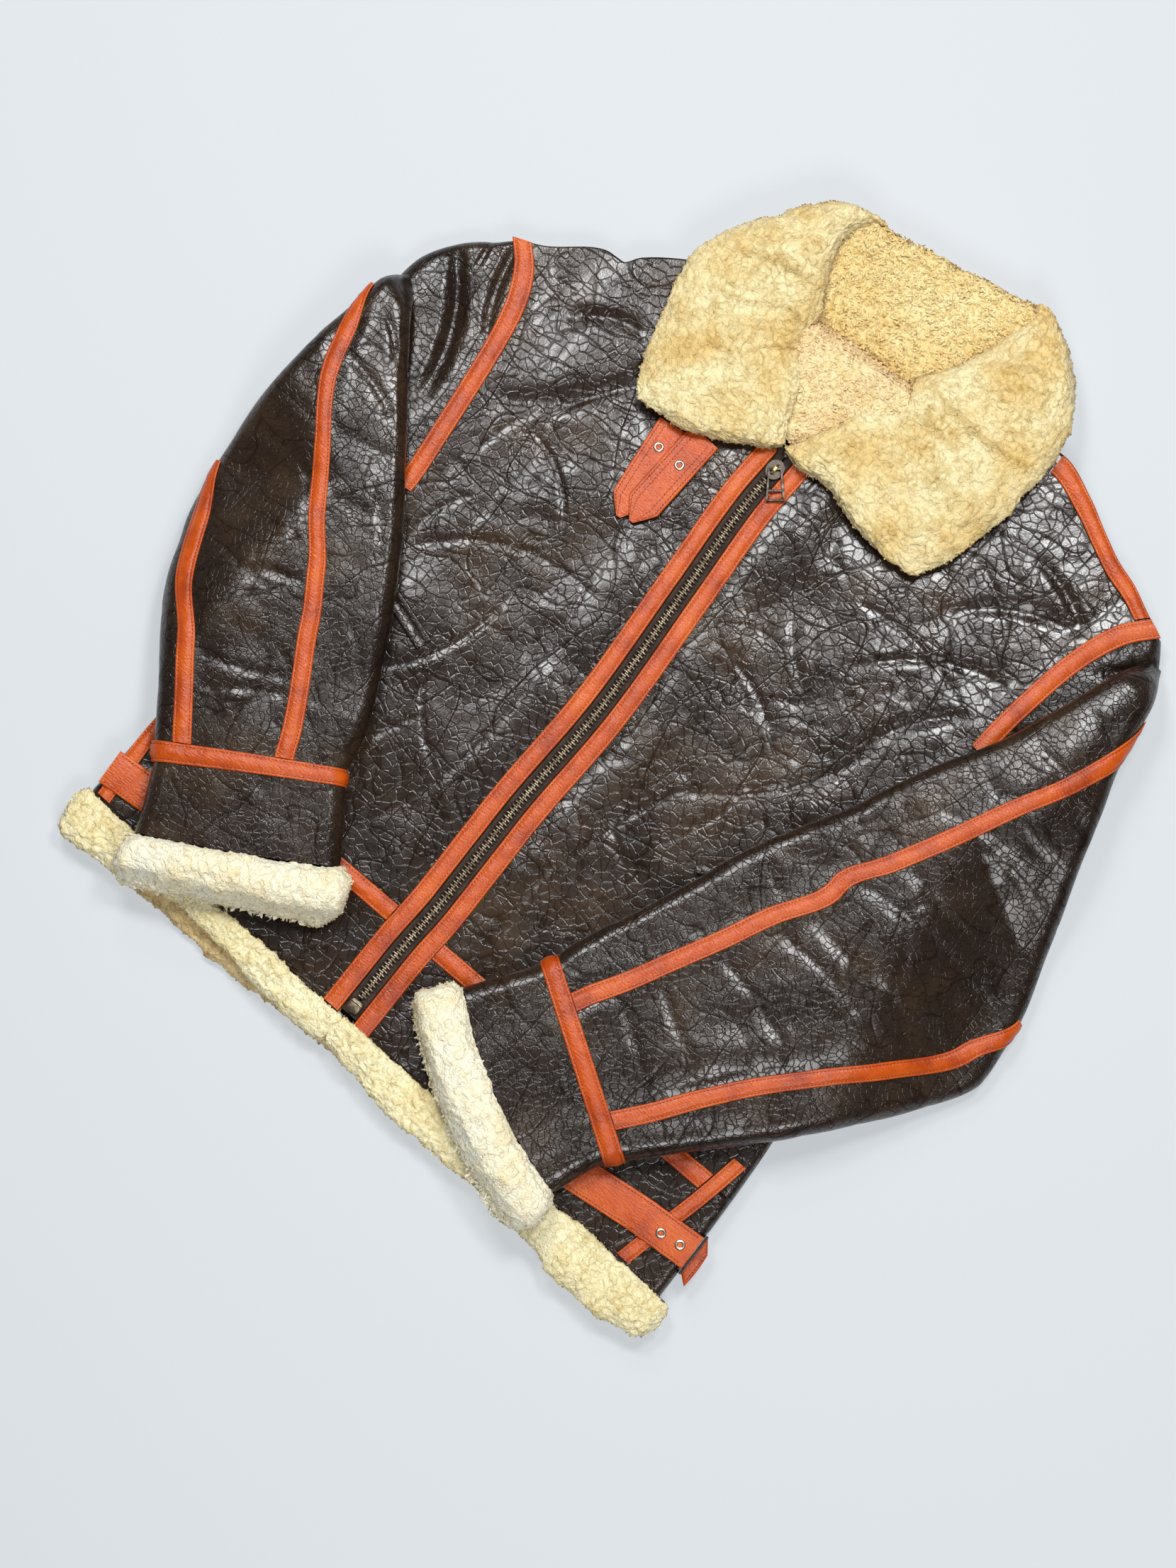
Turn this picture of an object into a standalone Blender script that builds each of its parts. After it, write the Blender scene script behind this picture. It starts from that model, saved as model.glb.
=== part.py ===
"""Sheepskin flying jacket, zipped and laid on its back, its sleeves folded down over the fronts.

Lengths below are millimetres. Plan positions are measured from the lower end of the zip: +y runs up the
zip to the collar and +x to the viewer's right, which is the wearer's left. Heights are above the table.
Every panel is a grid of outer points joined by a rim to a grid of inner points.
"""
from collections import namedtuple
import math

import bmesh
import bpy

MM = 0.001
MIDDLE_X = 37.0
MIDDLE_Y = 367.0

# Layers above the table
TABLE = 0.0
BACK_TOP = 12.4
FRONT_UNDER = 12.8
FRONT_TOP = 25.6
REST_TOP = 28.5
FLOOR_CLEAR = 0.3
SEAM_GAP = 0.3
TRIM_LIFT = 0.3
RING_LIFT = 0.6
TRIM_THICK = 1.3
TRIM_PUFF = 0.4
TRIM_HALF = 8.0

# Body
HEM_HEIGHT = -10.0
WAIST_HEIGHT = 80.0
NECK_HEIGHT = 690.0
HEM_SLOPE = -0.065
TAPE_EDGE = 7.6
ZIP_TRIM_INNER = 8.0
ZIP_TRIM_OUTER = 24.0
TAPE_STEP = 3.0
FRONT_SPANS = {-1: 7, 1: 9}
TAPE_SPANS = (0.0, TAPE_EDGE, ZIP_TRIM_INNER, (ZIP_TRIM_INNER + ZIP_TRIM_OUTER) / 2, ZIP_TRIM_OUTER)
BACK_PARTS = (0.0, 0.14, 0.3, 0.5, 0.68, 0.86, 1.0)
SIDE_TRIM_HALF = 6.5

# Sleeves
SLEEVE_RADIUS = 13.0
SLEEVE_CROWN = 6.0
SLIT = 2.5
EASE = 105.0
UPPER_SPANS = 6
UNDER_SPANS = 13

# Zip
ZIP_TOP = 556.0
ZIP_FOOT = 8.0
CHAIN_HALF = 4.4
TAPE_LOW = FRONT_TOP - TAPE_STEP + 0.3
TAPE_HIGH = TAPE_LOW + 1.0
CHAIN_LOW = TAPE_HIGH + 0.3
CHAIN_HIGH = CHAIN_LOW + 2.4
SLIDER_Y = 566.0
SLIDER_HALF = 9.0
SLIDER_TOP = CHAIN_HIGH + 1.6
WIRE = 1.5
PULL_Z = SLIDER_TOP + 0.6 + WIRE / 2
ARCH_HALF = 3.2
ARCH_WIDE = 2.0
ARCH_THICK = 1.4
PULL_LENGTH = 27.0
LEAN = math.radians(37.7)

# Straps
STRAP_THICK = 1.6

Side = namedtuple("Side", "height right left")
Place = namedtuple("Place", "height x")
Drop = namedtuple("Drop", "x drop")
Fold = namedtuple("Fold", "x0 y0 x1 y1 width depth")
Hem = namedtuple("Hem", "x outer top")
Station = namedtuple("Station", "step outer_x outer_y inner_x inner_y outer_seam inner_seam")
Cuff = namedtuple("Cuff", "outer_x outer_y inner_x inner_y swell bow")
Lobe = namedtuple("Lobe", "inner_x inner_y outer_x outer_y thick")
Roll = namedtuple("Roll", "part top under")

# Side edges of the body, hem to shoulder
BODY_SIDES = [
    Side(-10, -282, 342), Side(50, -279, 342), Side(120, -275, 340), Side(200, -268, 330),
    Side(300, -252, 306), Side(380, -234, 284), Side(440, -238, 276), Side(500, -243, 279),
    Side(560, -249, 287), Side(600, -255, 295), Side(650, -268, 311), Side(690, -284, 332),
]
ZIP_LINE = [
    Place(-10, 0), Place(60, 1), Place(115, 4), Place(200, 4), Place(320, 9), Place(440, 4),
    Place(530, 0), Place(570, 2), Place(600, 3), Place(690, 3),
]
NECK_OPENING = [
    Place(-10, 0.5), Place(575, 0.5), Place(590, 16), Place(605, 28), Place(625, 42), Place(645, 56),
    Place(665, 76), Place(690, 96),
]
RIGHT_SIDE_TRIM = [Place(-10, -269), Place(50, -271), Place(110, -268)]
LEFT_SIDE_TRIM = [Place(-10, 298), Place(28, 308), Place(60, 317), Place(90, 324), Place(110, 328)]
# How far the shoulder line lies from the neck's height, across the body
SHOULDER_LINE = [
    Drop(-300, -104), Drop(-269, -92), Drop(-208, -58), Drop(-163, -26), Drop(-110, 0), Drop(0, 6),
    Drop(110, 15), Drop(184, 33), Drop(224, 18), Drop(248, 4), Drop(274, -10), Drop(296, -18),
    Drop(322, -32), Drop(340, -41),
]
RIGHT_HEAD_REACH = [
    Place(380, -300), Place(400, -345), Place(420, -362), Place(460, -362), Place(503, -355),
    Place(550, -350), Place(590, -346), Place(635, -330), Place(665, -312), Place(690, -291),
]
LEFT_HEAD_REACH = [
    Place(460, 300), Place(475, 350), Place(493, 386), Place(541, 378), Place(583, 370),
    Place(622, 366), Place(656, 359), Place(672, 353), Place(690, 343),
]
# The largest folds of each front and each sleeve head, as soft troughs
FRONT_FOLDS = [
    Fold(-160, 232, -108, 350, 13, 3.6), Fold(-200, 330, -60, 392, 15, 2.6),
    Fold(-175, 470, -90, 395, 16, 2.8), Fold(-120, 560, -175, 470, 15, 2.4),
    Fold(-60, 190, -140, 300, 14, 2.2), Fold(-90, 120, -50, 300, 14, 2.0),
    Fold(-205, 560, -120, 470, 14, 2.4), Fold(-215, 420, -150, 500, 14, 2.2),
    Fold(60, 130, 120, 330, 15, 2.6), Fold(95, 300, 215, 440, 14, 3.0),
    Fold(150, 470, 262, 540, 14, 2.8), Fold(60, 420, 170, 350, 15, 2.4),
    Fold(70, 520, 150, 400, 15, 2.6), Fold(190, 560, 285, 610, 13, 3.0),
    Fold(120, 520, 250, 490, 14, 2.6), Fold(215, 640, 300, 600, 12, 2.4),
    Fold(50, 250, 110, 220, 13, 2.0),
]
HEAD_FOLDS = [
    Fold(-318, 566, -262, 430, 9, 4.5), Fold(-292, 590, -250, 470, 8, 3.6),
    Fold(-332, 545, -285, 440, 8, 3.8), Fold(-300, 520, -246, 395, 9, 4.2),
    Fold(352, 612, 292, 508, 8, 4.5), Fold(356, 630, 322, 600, 7, 3.5),
]
# Turned-out shearling edges of the fronts and the back
RIGHT_HEM_FUR = [
    Hem(-291, -22, 24.0), Hem(-284, -29, 27.0), Hem(-262, -34, 27.8),
    Hem(-236, -33, 27.8), Hem(-190, -17, 26.5), Hem(-140, -14, 26.0),
    Hem(-100, -20, 27.0), Hem(-70, -31, 29.5), Hem(-38, -33, 30.0), Hem(-6, -33, 29.0),
]
LEFT_HEM_FUR = [
    Hem(-5, -35, 29.0), Hem(25, -43, 30.0), Hem(65, -49, 28.3), Hem(115, -53, 27.0),
    Hem(170, -57, 27.0), Hem(225, -64, 28.0), Hem(255, -72, 30.5),
    Hem(290, -77, 31.0), Hem(325, -74, 30.5), Hem(345, -70, 28.0),
    Hem(356, -58, 24.0),
]
BACK_HEM_FUR = [
    Hem(-285, -24, 11.0), Hem(-240, -32, 12.0), Hem(-186, -33, 12.4),
    Hem(-137, -38, 12.4), Hem(-74, -40, 12.4), Hem(0, -38, 12.4),
    Hem(100, -48, 12.4), Hem(200, -58, 12.4), Hem(300, -68, 12.4),
    Hem(346, -62, 11.0),
]
FUR_ROLL = [
    Roll(0.0, 0.80, 0.00), Roll(0.25, 1.00, 0.00), Roll(0.60, 0.98, 0.00),
    Roll(0.85, 0.80, 0.06), Roll(1.0, 0.45, 0.30),
]
# Stations of each flattened sleeve, shoulder to cuff. A seam is measured over the top from the outer edge.
RIGHT_SLEEVE = [
    Station(0, -349, 524, -333, 514, -22, -1), Station(1, -355, 490, -312, 478, -45, -2),
    Station(2, -361, 448, -283, 437, -34, 19), Station(3, -369, 400, -252, 396, -25, 41),
    Station(4, -373, 345, -221, 353, -14, 78), Station(5, -371, 290, -197, 316, 2, 106),
    Station(6, -362, 243, -176, 279, 18, 128), Station(7, -345, 190, -157, 243, 25, 138),
    Station(8, -318, 148, -138, 205, 33, 134), Station(9, -288, 106, -127, 172, 33, 126),
    Station(10, -264, 72, -123, 150, 33, 118), Station(11, -258.5, 65, -119, 144, 33, 118),
]
LEFT_SLEEVE = [
    Station(0, 358, 628, 343, 628, -18, -4), Station(1, 369, 595, 327, 598, -45, -10),
    Station(2, 375, 551, 312, 558, -40, 8), Station(3, 389, 500, 292, 507, -34, 42),
    Station(4, 404, 447, 268, 466, -26, 83), Station(5, 424, 385, 242, 420, -15, 130),
    Station(6, 441, 325, 219, 371, 2, 176), Station(7, 447, 270, 195, 332, 36, 207),
    Station(8, 415, 215, 170, 286, 47, 203), Station(9, 383, 175, 152, 245, 54, 192),
    Station(10, 349, 136, 135, 206, 57, 180), Station(11, 313, 98, 119, 172, 53, 165),
    Station(12, 280, 64, 110, 148, 46, 153), Station(13, 253, 37, 107, 136, 42, 143),
    Station(14, 247, 30.5, 103, 129, 42, 143),
]
OUTER_TRIM_START = {"right": 5.5, "left": 6.5}
INNER_TRIM_START = 1.5
RIGHT_CUFF = [
    Cuff(-258.5, 65, -119, 144, 0, 0), Cuff(-253, 58, -115, 138, 0, 0),
    Cuff(-240, 30, -96, 112, 0, 1), Cuff(-229, 3, -77, 84, 0, 3),
]
RIGHT_CUFF_FUR = [
    Cuff(-229, 3, -77, 84, -1, 3), Cuff(-232, -4, -67, 82, 3, 3), Cuff(-231, -16, -57, 70, 5, 3),
    Cuff(-227, -27, -54, 56, 3, 2), Cuff(-220, -34, -57, 45, -4, 1), Cuff(-212, -36, -64, 36, -10, 0),
]
LEFT_CUFF = [
    Cuff(247, 30.5, 103, 129, 0, 0), Cuff(241, 24, 99, 122, 0, 0),
    Cuff(231, 3, 81, 95, 0, 6), Cuff(223, -18, 62, 69, 0, 12),
]
LEFT_CUFF_FUR = [
    Cuff(223, -18, 62, 69, -1, 12), Cuff(228, -28, 52, 66, 3, 12), Cuff(229, -42, 42, 54, 5, 12),
    Cuff(224, -55, 36, 42, 3, 12), Cuff(214, -63, 38, 33, -4, 11), Cuff(204, -65, 45, 25, -10, 9),
]
# Collar lobes, from the zip round to the back of the neck
RIGHT_LOBE = [
    Lobe(-4, 586, -12, 577, 14), Lobe(-12, 600, -45, 558, 18), Lobe(-20, 617, -85, 544, 20),
    Lobe(-30, 637, -122, 541, 20), Lobe(-40, 653, -143, 580, 20), Lobe(-47, 664, -155, 622, 21),
    Lobe(-50, 688, -163, 664, 22), Lobe(-58, 708, -152, 697, 24), Lobe(-66, 728, -128, 735, 26),
    Lobe(-70, 748, -105, 767, 26), Lobe(-62, 770, -84, 781, 24), Lobe(-54, 779, -64, 784, 20),
    Lobe(-46, 782, -50, 785, 16),
]
LEFT_LOBE = [
    Lobe(-2, 584, 13, 578, 14), Lobe(8, 600, 45, 580, 18), Lobe(20, 622, 80, 568, 20),
    Lobe(32, 645, 110, 562, 20), Lobe(45, 660, 140, 561, 20), Lobe(58, 673, 163, 590, 21),
    Lobe(52, 692, 177, 645, 22), Lobe(66, 715, 182, 695, 24), Lobe(78, 741, 180, 724, 26),
    Lobe(85, 765, 168, 755, 26), Lobe(90, 786, 145, 784, 24), Lobe(91, 800, 120, 804, 20),
    Lobe(89, 808, 102, 812, 16),
]
LOBE_ROLL = [
    Roll(0.0, 0.45, 0.10), Roll(0.08, 0.82, 0.0), Roll(0.30, 1.00, 0.0), Roll(0.65, 1.00, 0.0),
    Roll(0.88, 0.90, 0.0), Roll(0.96, 0.68, 0.12), Roll(1.0, 0.40, 0.30),
]
BACK_COLLAR_TOP = [27.0, 28.0, 31.0, 36.0, 41.0, 38.0, 24.0]
BACK_COLLAR_UNDER = [13.0, 13.0, 9.0, 4.0, 0.5, 0.5, 3.0]
COLLAR_LINING_TOP = [22.0, 26.5, 27.5, 27.8, 27.5, 27.5, 27.8]
NECK_ROW = 6

# Outline of the layers that the sleeves and the collar lie on
LOWER_LAYERS = [
    (-292, -34), (-290, 50), (-285, 120), (-276, 250), (-262, 340), (-330, 372), (-366, 392),
    (-366, 440), (-358, 490), (-350, 528), (-332, 556), (-292, 600), (-208, 645), (-163, 684),
    (-110, 704), (110, 714), (184, 728), (249, 702), (322, 668), (358, 640), (370, 600), (376, 560),
    (390, 520), (392, 470), (300, 430), (312, 300), (338, 200), (348, 120), (350, 0), (352, -72),
    (226, -65), (35, -45), (-74, -40), (-186, -34),
]


def metres(point):
    """A millimetre point on the drawing as a point in metres about the jacket's middle."""
    return ((point[0] - MIDDLE_X) * MM, (point[1] - MIDDLE_Y) * MM, point[2] * MM)


def mix(a, b, part):
    return a + (b - a) * part


def ease(part):
    part = min(max(part, 0.0), 1.0)
    return part * part * (3 - 2 * part)


def slope(table, row, column):
    """How fast a column changes at a row, nought where it turns back."""
    steps = []
    for start in (row - 1, row):
        if 0 <= start < len(table) - 1:
            low, high = table[start], table[start + 1]
            steps.append((high[column] - low[column]) / (high[0] - low[0]))
    if len(steps) == 1:
        return steps[0]
    if steps[0] * steps[1] <= 0:
        return 0.0
    return 2 * steps[0] * steps[1] / (steps[0] + steps[1])


def curve(table, at):
    """A smooth row of a table, read between its rows. The first column rises."""
    at = min(max(at, table[0][0]), table[-1][0])
    i = 0
    while i < len(table) - 2 and at > table[i + 1][0]:
        i += 1
    low, high = table[i], table[i + 1]
    span = high[0] - low[0]
    t = (at - low[0]) / span
    values = [at]
    for k in range(1, len(low)):
        start = low[k] * (2 * t ** 3 - 3 * t ** 2 + 1) + slope(table, i, k) * span * (t ** 3 - 2 * t ** 2 + t)
        end = high[k] * (3 * t ** 2 - 2 * t ** 3) + slope(table, i + 1, k) * span * (t ** 3 - t ** 2)
        values.append(start + end)
    return type(low)(*values)


def segment_distance(x, y, x0, y0, x1, y1):
    dx, dy = x1 - x0, y1 - y0
    t = ((x - x0) * dx + (y - y0) * dy) / (dx * dx + dy * dy)
    t = min(max(t, 0.0), 1.0)
    return math.hypot(x - x0 - t * dx, y - y0 - t * dy)


def inside_outline(x, y, outline):
    inside = False
    for (x0, y0), (x1, y1) in zip(outline, outline[1:] + outline[:1]):
        if (y0 > y) != (y1 > y) and x < x0 + (y - y0) / (y1 - y0) * (x1 - x0):
            inside = not inside
    return inside


def rest_height(x, y):
    """Height of what lies below a sleeve or the collar, easing to the table past its outline."""
    if inside_outline(x, y, LOWER_LAYERS):
        return REST_TOP
    sides = zip(LOWER_LAYERS, LOWER_LAYERS[1:] + LOWER_LAYERS[:1])
    away = min(segment_distance(x, y, *start, *end) for start, end in sides)
    return mix(REST_TOP, FLOOR_CLEAR, ease(away / EASE))


def fold_depth(x, y, folds):
    depth = 0.0
    for fold in folds:
        away = segment_distance(x, y, fold.x0, fold.y0, fold.x1, fold.y1)
        depth = max(depth, fold.depth * math.exp(-((away / fold.width) ** 2)))
    return depth


def material(name, colour, roughness, metallic=0.0):
    if name in bpy.data.materials:
        return bpy.data.materials[name]
    made = bpy.data.materials.new(name)
    made.use_nodes = True
    shader = made.node_tree.nodes["Principled BSDF"]
    shader.inputs["Base Color"].default_value = (*colour, 1.0)
    shader.inputs["Roughness"].default_value = roughness
    shader.inputs["Metallic"].default_value = metallic
    return made


def brown_leather():
    return material("brown_leather", (0.032, 0.021, 0.017), 0.38)


def orange_leather():
    return material("orange_leather", (0.60, 0.09, 0.025), 0.45)


def cream_fur():
    return material("cream_fur", (0.76, 0.62, 0.38), 0.95)


def golden_fur():
    return material("golden_fur", (0.70, 0.48, 0.22), 0.95)


def brown_tape():
    return material("brown_tape", (0.035, 0.025, 0.02), 0.85)


def dark_brass():
    return material("dark_brass", (0.16, 0.12, 0.07), 0.4, 1.0)


def bright_nickel():
    return material("bright_nickel", (0.55, 0.53, 0.5), 0.3, 1.0)


def finish(name, mesh, surface):
    mesh.materials.append(surface)
    made = bpy.data.objects.new(name, mesh)
    bpy.context.scene.collection.objects.link(made)
    return made


def wall(name, outer, inner, surface, closed=False):
    """A closed solid between two grids of points. Both are cut along the same diagonals."""
    rows, columns = len(outer), len(outer[0])
    spans = columns if closed else columns - 1
    points = [metres(point) for grid in (outer, inner) for row in grid for point in row]

    def at(side, row, column):
        return side * rows * columns + row * columns + column % columns

    faces = []
    for row in range(rows - 1):
        for column in range(spans):
            for side in (0, 1):
                a = at(side, row, column)
                b = at(side, row, column + 1)
                c = at(side, row + 1, column + 1)
                d = at(side, row + 1, column)
                faces += [(a, b, c), (a, c, d)] if side == 0 else [(c, b, a), (d, c, a)]
    for row in (0, rows - 1):
        for column in range(spans):
            faces.append((at(0, row, column), at(0, row, column + 1), at(1, row, column + 1), at(1, row, column)))
    if not closed:
        for column in (0, columns - 1):
            for row in range(rows - 1):
                faces.append((at(0, row, column), at(0, row + 1, column), at(1, row + 1, column), at(1, row, column)))
    mesh = bpy.data.meshes.new(name)
    mesh.from_pydata(points, [], faces)
    shape = bmesh.new()
    shape.from_mesh(mesh)
    bmesh.ops.recalc_face_normals(shape, faces=shape.faces)
    shape.to_mesh(mesh)
    shape.free()
    mesh.polygons.foreach_set("use_smooth", [True] * len(mesh.polygons))
    mesh.set_sharp_from_angle(angle=math.radians(50))
    return finish(name, mesh, surface)


def plate(name, outline, low, high, surface):
    """A flat plate with the given outline."""
    outer = [[(x, y, low) for x, y in outline], [(x, y, high) for x, y in outline]]
    mesh = bpy.data.meshes.new(name)
    count = len(outline)
    points = [metres(point) for row in outer for point in row]
    faces = [tuple(reversed(range(count))), tuple(range(count, 2 * count))]
    for k in range(count):
        faces.append((k, (k + 1) % count, count + (k + 1) % count, count + k))
    mesh.from_pydata(points, [], faces)
    shape = bmesh.new()
    shape.from_mesh(mesh)
    bmesh.ops.recalc_face_normals(shape, faces=shape.faces)
    shape.to_mesh(mesh)
    shape.free()
    return finish(name, mesh, surface)


# Body surface


def side_edge(sign, height):
    edges = curve(BODY_SIDES, height)
    return edges.left if sign > 0 else edges.right


def body_y(height, x):
    """Where a line that runs round the body at a height lies, at a place across it."""
    up = (height - HEM_HEIGHT) / (NECK_HEIGHT - HEM_HEIGHT)
    return height + HEM_SLOPE * x * (1 - up) ** 2 + curve(SHOULDER_LINE, x).drop * up ** 3


def front_top(height, x):
    """The front's top, with its folds fading out where the armhole is taped."""
    inset = abs(side_edge(1 if x > 0 else -1, height) - x)
    return FRONT_TOP - fold_depth(x, body_y(height, x), FRONT_FOLDS) * ease((inset - TRIM_HALF) / 18)


def zip_edge(sign, height, offset):
    """A line beside the zip, at an offset from the edge of the front."""
    return curve(ZIP_LINE, height).x + sign * (curve(NECK_OPENING, height).x + offset)


def spread(low, high, step):
    """Heights from low to high, about a step apart."""
    count = max(1, round((high - low) / step))
    return [mix(low, high, k / count) for k in range(count + 1)]


BAND_HEIGHTS = [HEM_HEIGHT, 20, 48, WAIST_HEIGHT - TRIM_HALF - 0.5, WAIST_HEIGHT - SEAM_GAP / 2]
FRONT_HEIGHTS = (
    [WAIST_HEIGHT + SEAM_GAP / 2, WAIST_HEIGHT + TRIM_HALF + 0.5]
    + spread(118, 352, 33)
    + spread(374, 578, 23)
    + [594, 614, 640, 660, 671, 680, NECK_HEIGHT]
)


def front_columns(sign, height):
    """Places across a front, from the zip to the side seam."""
    places = [zip_edge(sign, height, offset) for offset in TAPE_SPANS]
    side = side_edge(sign, height)
    last = side - sign * TRIM_HALF
    first = places[-1]
    count = FRONT_SPANS[sign]
    places += [mix(first, last, (k + 1) / count) for k in range(count)]
    places.append(side - sign * SEAM_GAP / 2)
    return places


def side_fall(height):
    """The side edge of the front rolls down below the armhole, where nothing is sewn to it."""
    return 7.0 * (1 - ease((height - 340) / 40))


def front_panel(name, sign, heights):
    outer, inner = [], []
    for height in heights:
        row = []
        for column, x in enumerate(front_columns(sign, height)):
            top = front_top(height, x)
            if column < 2:
                top = FRONT_TOP - TAPE_STEP
            row.append((x, body_y(height, x), top))
        x, y, top = row[-1]
        row[-1] = (x, y, top - side_fall(height))
        outer.append(row)
        inner.append([(x, y, FRONT_UNDER) for x, y, top in row])
    return wall(name, outer, inner, brown_leather())


def back_panel(name, heights):
    outer, inner = [], []
    for height in heights:
        right = side_edge(-1, height)
        left = side_edge(1, height)
        places = [mix(right, left, part) for part in BACK_PARTS]
        outer.append([(x, body_y(height, x), BACK_TOP) for x in places])
        inner.append([(x, body_y(height, x), TABLE) for x in places])
    return wall(name, outer, inner, brown_leather())


def hem_fur(name, table, under, surface):
    """A rolled shearling edge, laid along the hem."""
    outer, inner = [], []
    for hem in table:
        start = body_y(HEM_HEIGHT, hem.x) - SEAM_GAP
        thick = hem.top - under
        outer.append([
            (hem.x, mix(start, hem.outer, roll.part), under + thick * roll.top) for roll in FUR_ROLL
        ])
        inner.append([
            (hem.x, mix(start, hem.outer, roll.part), under + thick * roll.under) for roll in FUR_ROLL
        ])
    return wall(name, outer, inner, surface)


def laid_strip(name, rows, surface, thick=TRIM_THICK, puff=TRIM_PUFF):
    """A strip of three points across, laid just over the panel points that it is given."""
    outer, inner = [], []
    for row in rows:
        outer.append([
            (x, y, z + TRIM_LIFT + thick + (puff if column == 1 else 0.0))
            for column, (x, y, z) in enumerate(row)
        ])
        inner.append([(x, y, z + TRIM_LIFT) for x, y, z in row])
    return wall(name, outer, inner, surface)


def zip_trim(name, sign):
    rows = []
    for height in BAND_HEIGHTS[:-1] + FRONT_HEIGHTS[1:-5]:
        row = []
        for x in front_columns(sign, height)[2:5]:
            row.append((x, body_y(height, x), front_top(height, x)))
        rows.append(row)
    return laid_strip(name, rows, orange_leather())


def waist_trim(name, sign):
    """The taped waist seam, from the zip trim to the side trim."""
    heights = (WAIST_HEIGHT - TRIM_HALF, WAIST_HEIGHT, WAIST_HEIGHT + TRIM_HALF)
    lines = [front_columns(sign, height) for height in heights]
    rows = [[line[4] + sign * 0.4 for line in lines]]
    rows += [[line[column] for line in lines] for column in range(5, len(lines[0]) - 3)]
    rows.append([side_trim_place(sign, height) - sign * (SIDE_TRIM_HALF + 1.0) for height in heights])
    rows = [[(x, body_y(h, x), FRONT_TOP) for x, h in zip(row, heights)] for row in rows]
    return laid_strip(name, rows, orange_leather())


def side_trim_place(sign, height):
    return curve(LEFT_SIDE_TRIM if sign > 0 else RIGHT_SIDE_TRIM, height).x


def side_trim(name, sign):
    rows = []
    for height in spread(-7, 108, 16):
        middle = side_trim_place(sign, height)
        rows.append([
            (middle + offset, body_y(height, middle), FRONT_TOP) for offset in (-SIDE_TRIM_HALF, 0.0, SIDE_TRIM_HALF)
        ])
    return laid_strip(name, rows, orange_leather())


def armhole_trim(name, sign, heights):
    rows = []
    for height in heights:
        side = side_edge(sign, height)
        row = []
        for x in (side - sign * TRIM_HALF, side, side + sign * TRIM_HALF):
            row.append((x, body_y(height, x), front_top(height, x)))
        rows.append(row)
    return laid_strip(name, rows, orange_leather())


def shoulder_trim(name):
    """The taped shoulder seam, from the collar to the armhole trim."""
    heights = (671, 680, NECK_HEIGHT)
    lines = [front_columns(1, height) for height in heights]
    rows = []
    for column in range(7, len(lines[0]) - 2):
        rows.append([(line[column], height) for line, height in zip(lines, heights)])
    rows.append([(side_edge(1, height) - TRIM_HALF - 1.2, height) for height in heights])
    rows = [[(x, body_y(height, x), front_top(height, x)) for x, height in row] for row in rows]
    return laid_strip(name, rows, orange_leather())


def sleeve_head(name, sign, reach_table, heights):
    """The gathered head of a sleeve, beside the armhole, down to the table."""
    outer, inner = [], []
    for height in heights:
        side = side_edge(sign, height)
        reach = curve(reach_table, height).x
        room = abs(reach - side)
        places = [side + sign * SEAM_GAP / 2, side + sign * min(TRIM_HALF, room * 0.4)]
        start = places[-1]
        places += [mix(start, reach, part) for part in (0.2, 0.4, 0.6, 0.78, 0.92, 1.0)]
        row = []
        for column, x in enumerate(places):
            y = body_y(height, x)
            top = FRONT_TOP - (fold_depth(x, y, HEAD_FOLDS) if column > 1 else 0.0)
            fall = {6: 4.0, 7: 14.0}.get(column, 0.0)
            row.append((x, y, top - fall))
        outer.append(row)
        inner.append([
            (x, y, FLOOR_CLEAR + {7: 6.0}.get(column, 0.0)) for column, (x, y, top) in enumerate(row)
        ])
    return wall(name, outer, inner, brown_leather())


# Sleeves: a flattened tube whose surface is measured over the top from its outer edge


def ring_size(width):
    radius = min(SLEEVE_RADIUS, width * 0.46)
    top = math.pi * radius + width - 2 * radius
    return radius, top


def ring_point(station, along, out=0.0, within=False, swell=0.0, bow=0.0):
    """A point of the flattened tube. Beyond the inner edge, or below nought, it is on the under side."""
    dx = station.inner_x - station.outer_x
    dy = station.inner_y - station.outer_y
    width = math.hypot(dx, dy)
    radius, top = ring_size(width)
    along = (along + top) % (2 * top) - top
    turn = math.pi * radius / 2
    reach = abs(along)
    if reach < turn:
        angle = reach / radius
        near = radius
        away = -math.cos(angle)
        lift = math.sin(angle)
    elif reach > top - turn:
        angle = (top - reach) / radius
        near = width - radius
        away = math.cos(angle)
        lift = math.sin(angle)
    else:
        near = radius + reach - turn
        away = 0.0
        lift = 1.0
    size = SLIT if within else radius + out
    across = near + away * size
    part = across / width
    bulge = 1 - (2 * part - 1) ** 2
    sink = bow * bulge * math.copysign(1, dx) / width
    x = station.outer_x + dx * part + dy * sink
    y = station.outer_y + dy * part - dx * sink
    side = 1 if along >= 0 else -1
    swollen = max(radius + swell, SLIT + 1.0)
    grown = size if within else (swollen + out)
    height = rest_height(x, y) + swollen + side * lift * grown
    if side > 0 and not within:
        height += SLEEVE_CROWN * bulge ** 2 * lift * min(1.0, width / 120)
    return (x, y, height)


def even_places(station, start, end, count):
    """Places round the tube from start to end, closer together where it turns."""
    width = math.hypot(station.inner_x - station.outer_x, station.inner_y - station.outer_y)
    radius, top = ring_size(width)
    turn = math.pi * radius / 2
    steps = 240
    costs = [0.0]
    for k in range(steps):
        place = mix(start, end, (k + 0.5) / steps)
        folded = abs((place + top) % (2 * top) - top)
        turning = folded < turn or folded > top - turn
        costs.append(costs[-1] + (3.5 if turning else 1.0))
    places = []
    k = 0
    for n in range(count + 1):
        wanted = costs[-1] * n / count
        while k < steps - 1 and costs[k + 1] < wanted:
            k += 1
        part = (wanted - costs[k]) / (costs[k + 1] - costs[k])
        places.append(mix(start, end, (k + part) / steps))
    return places


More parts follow.
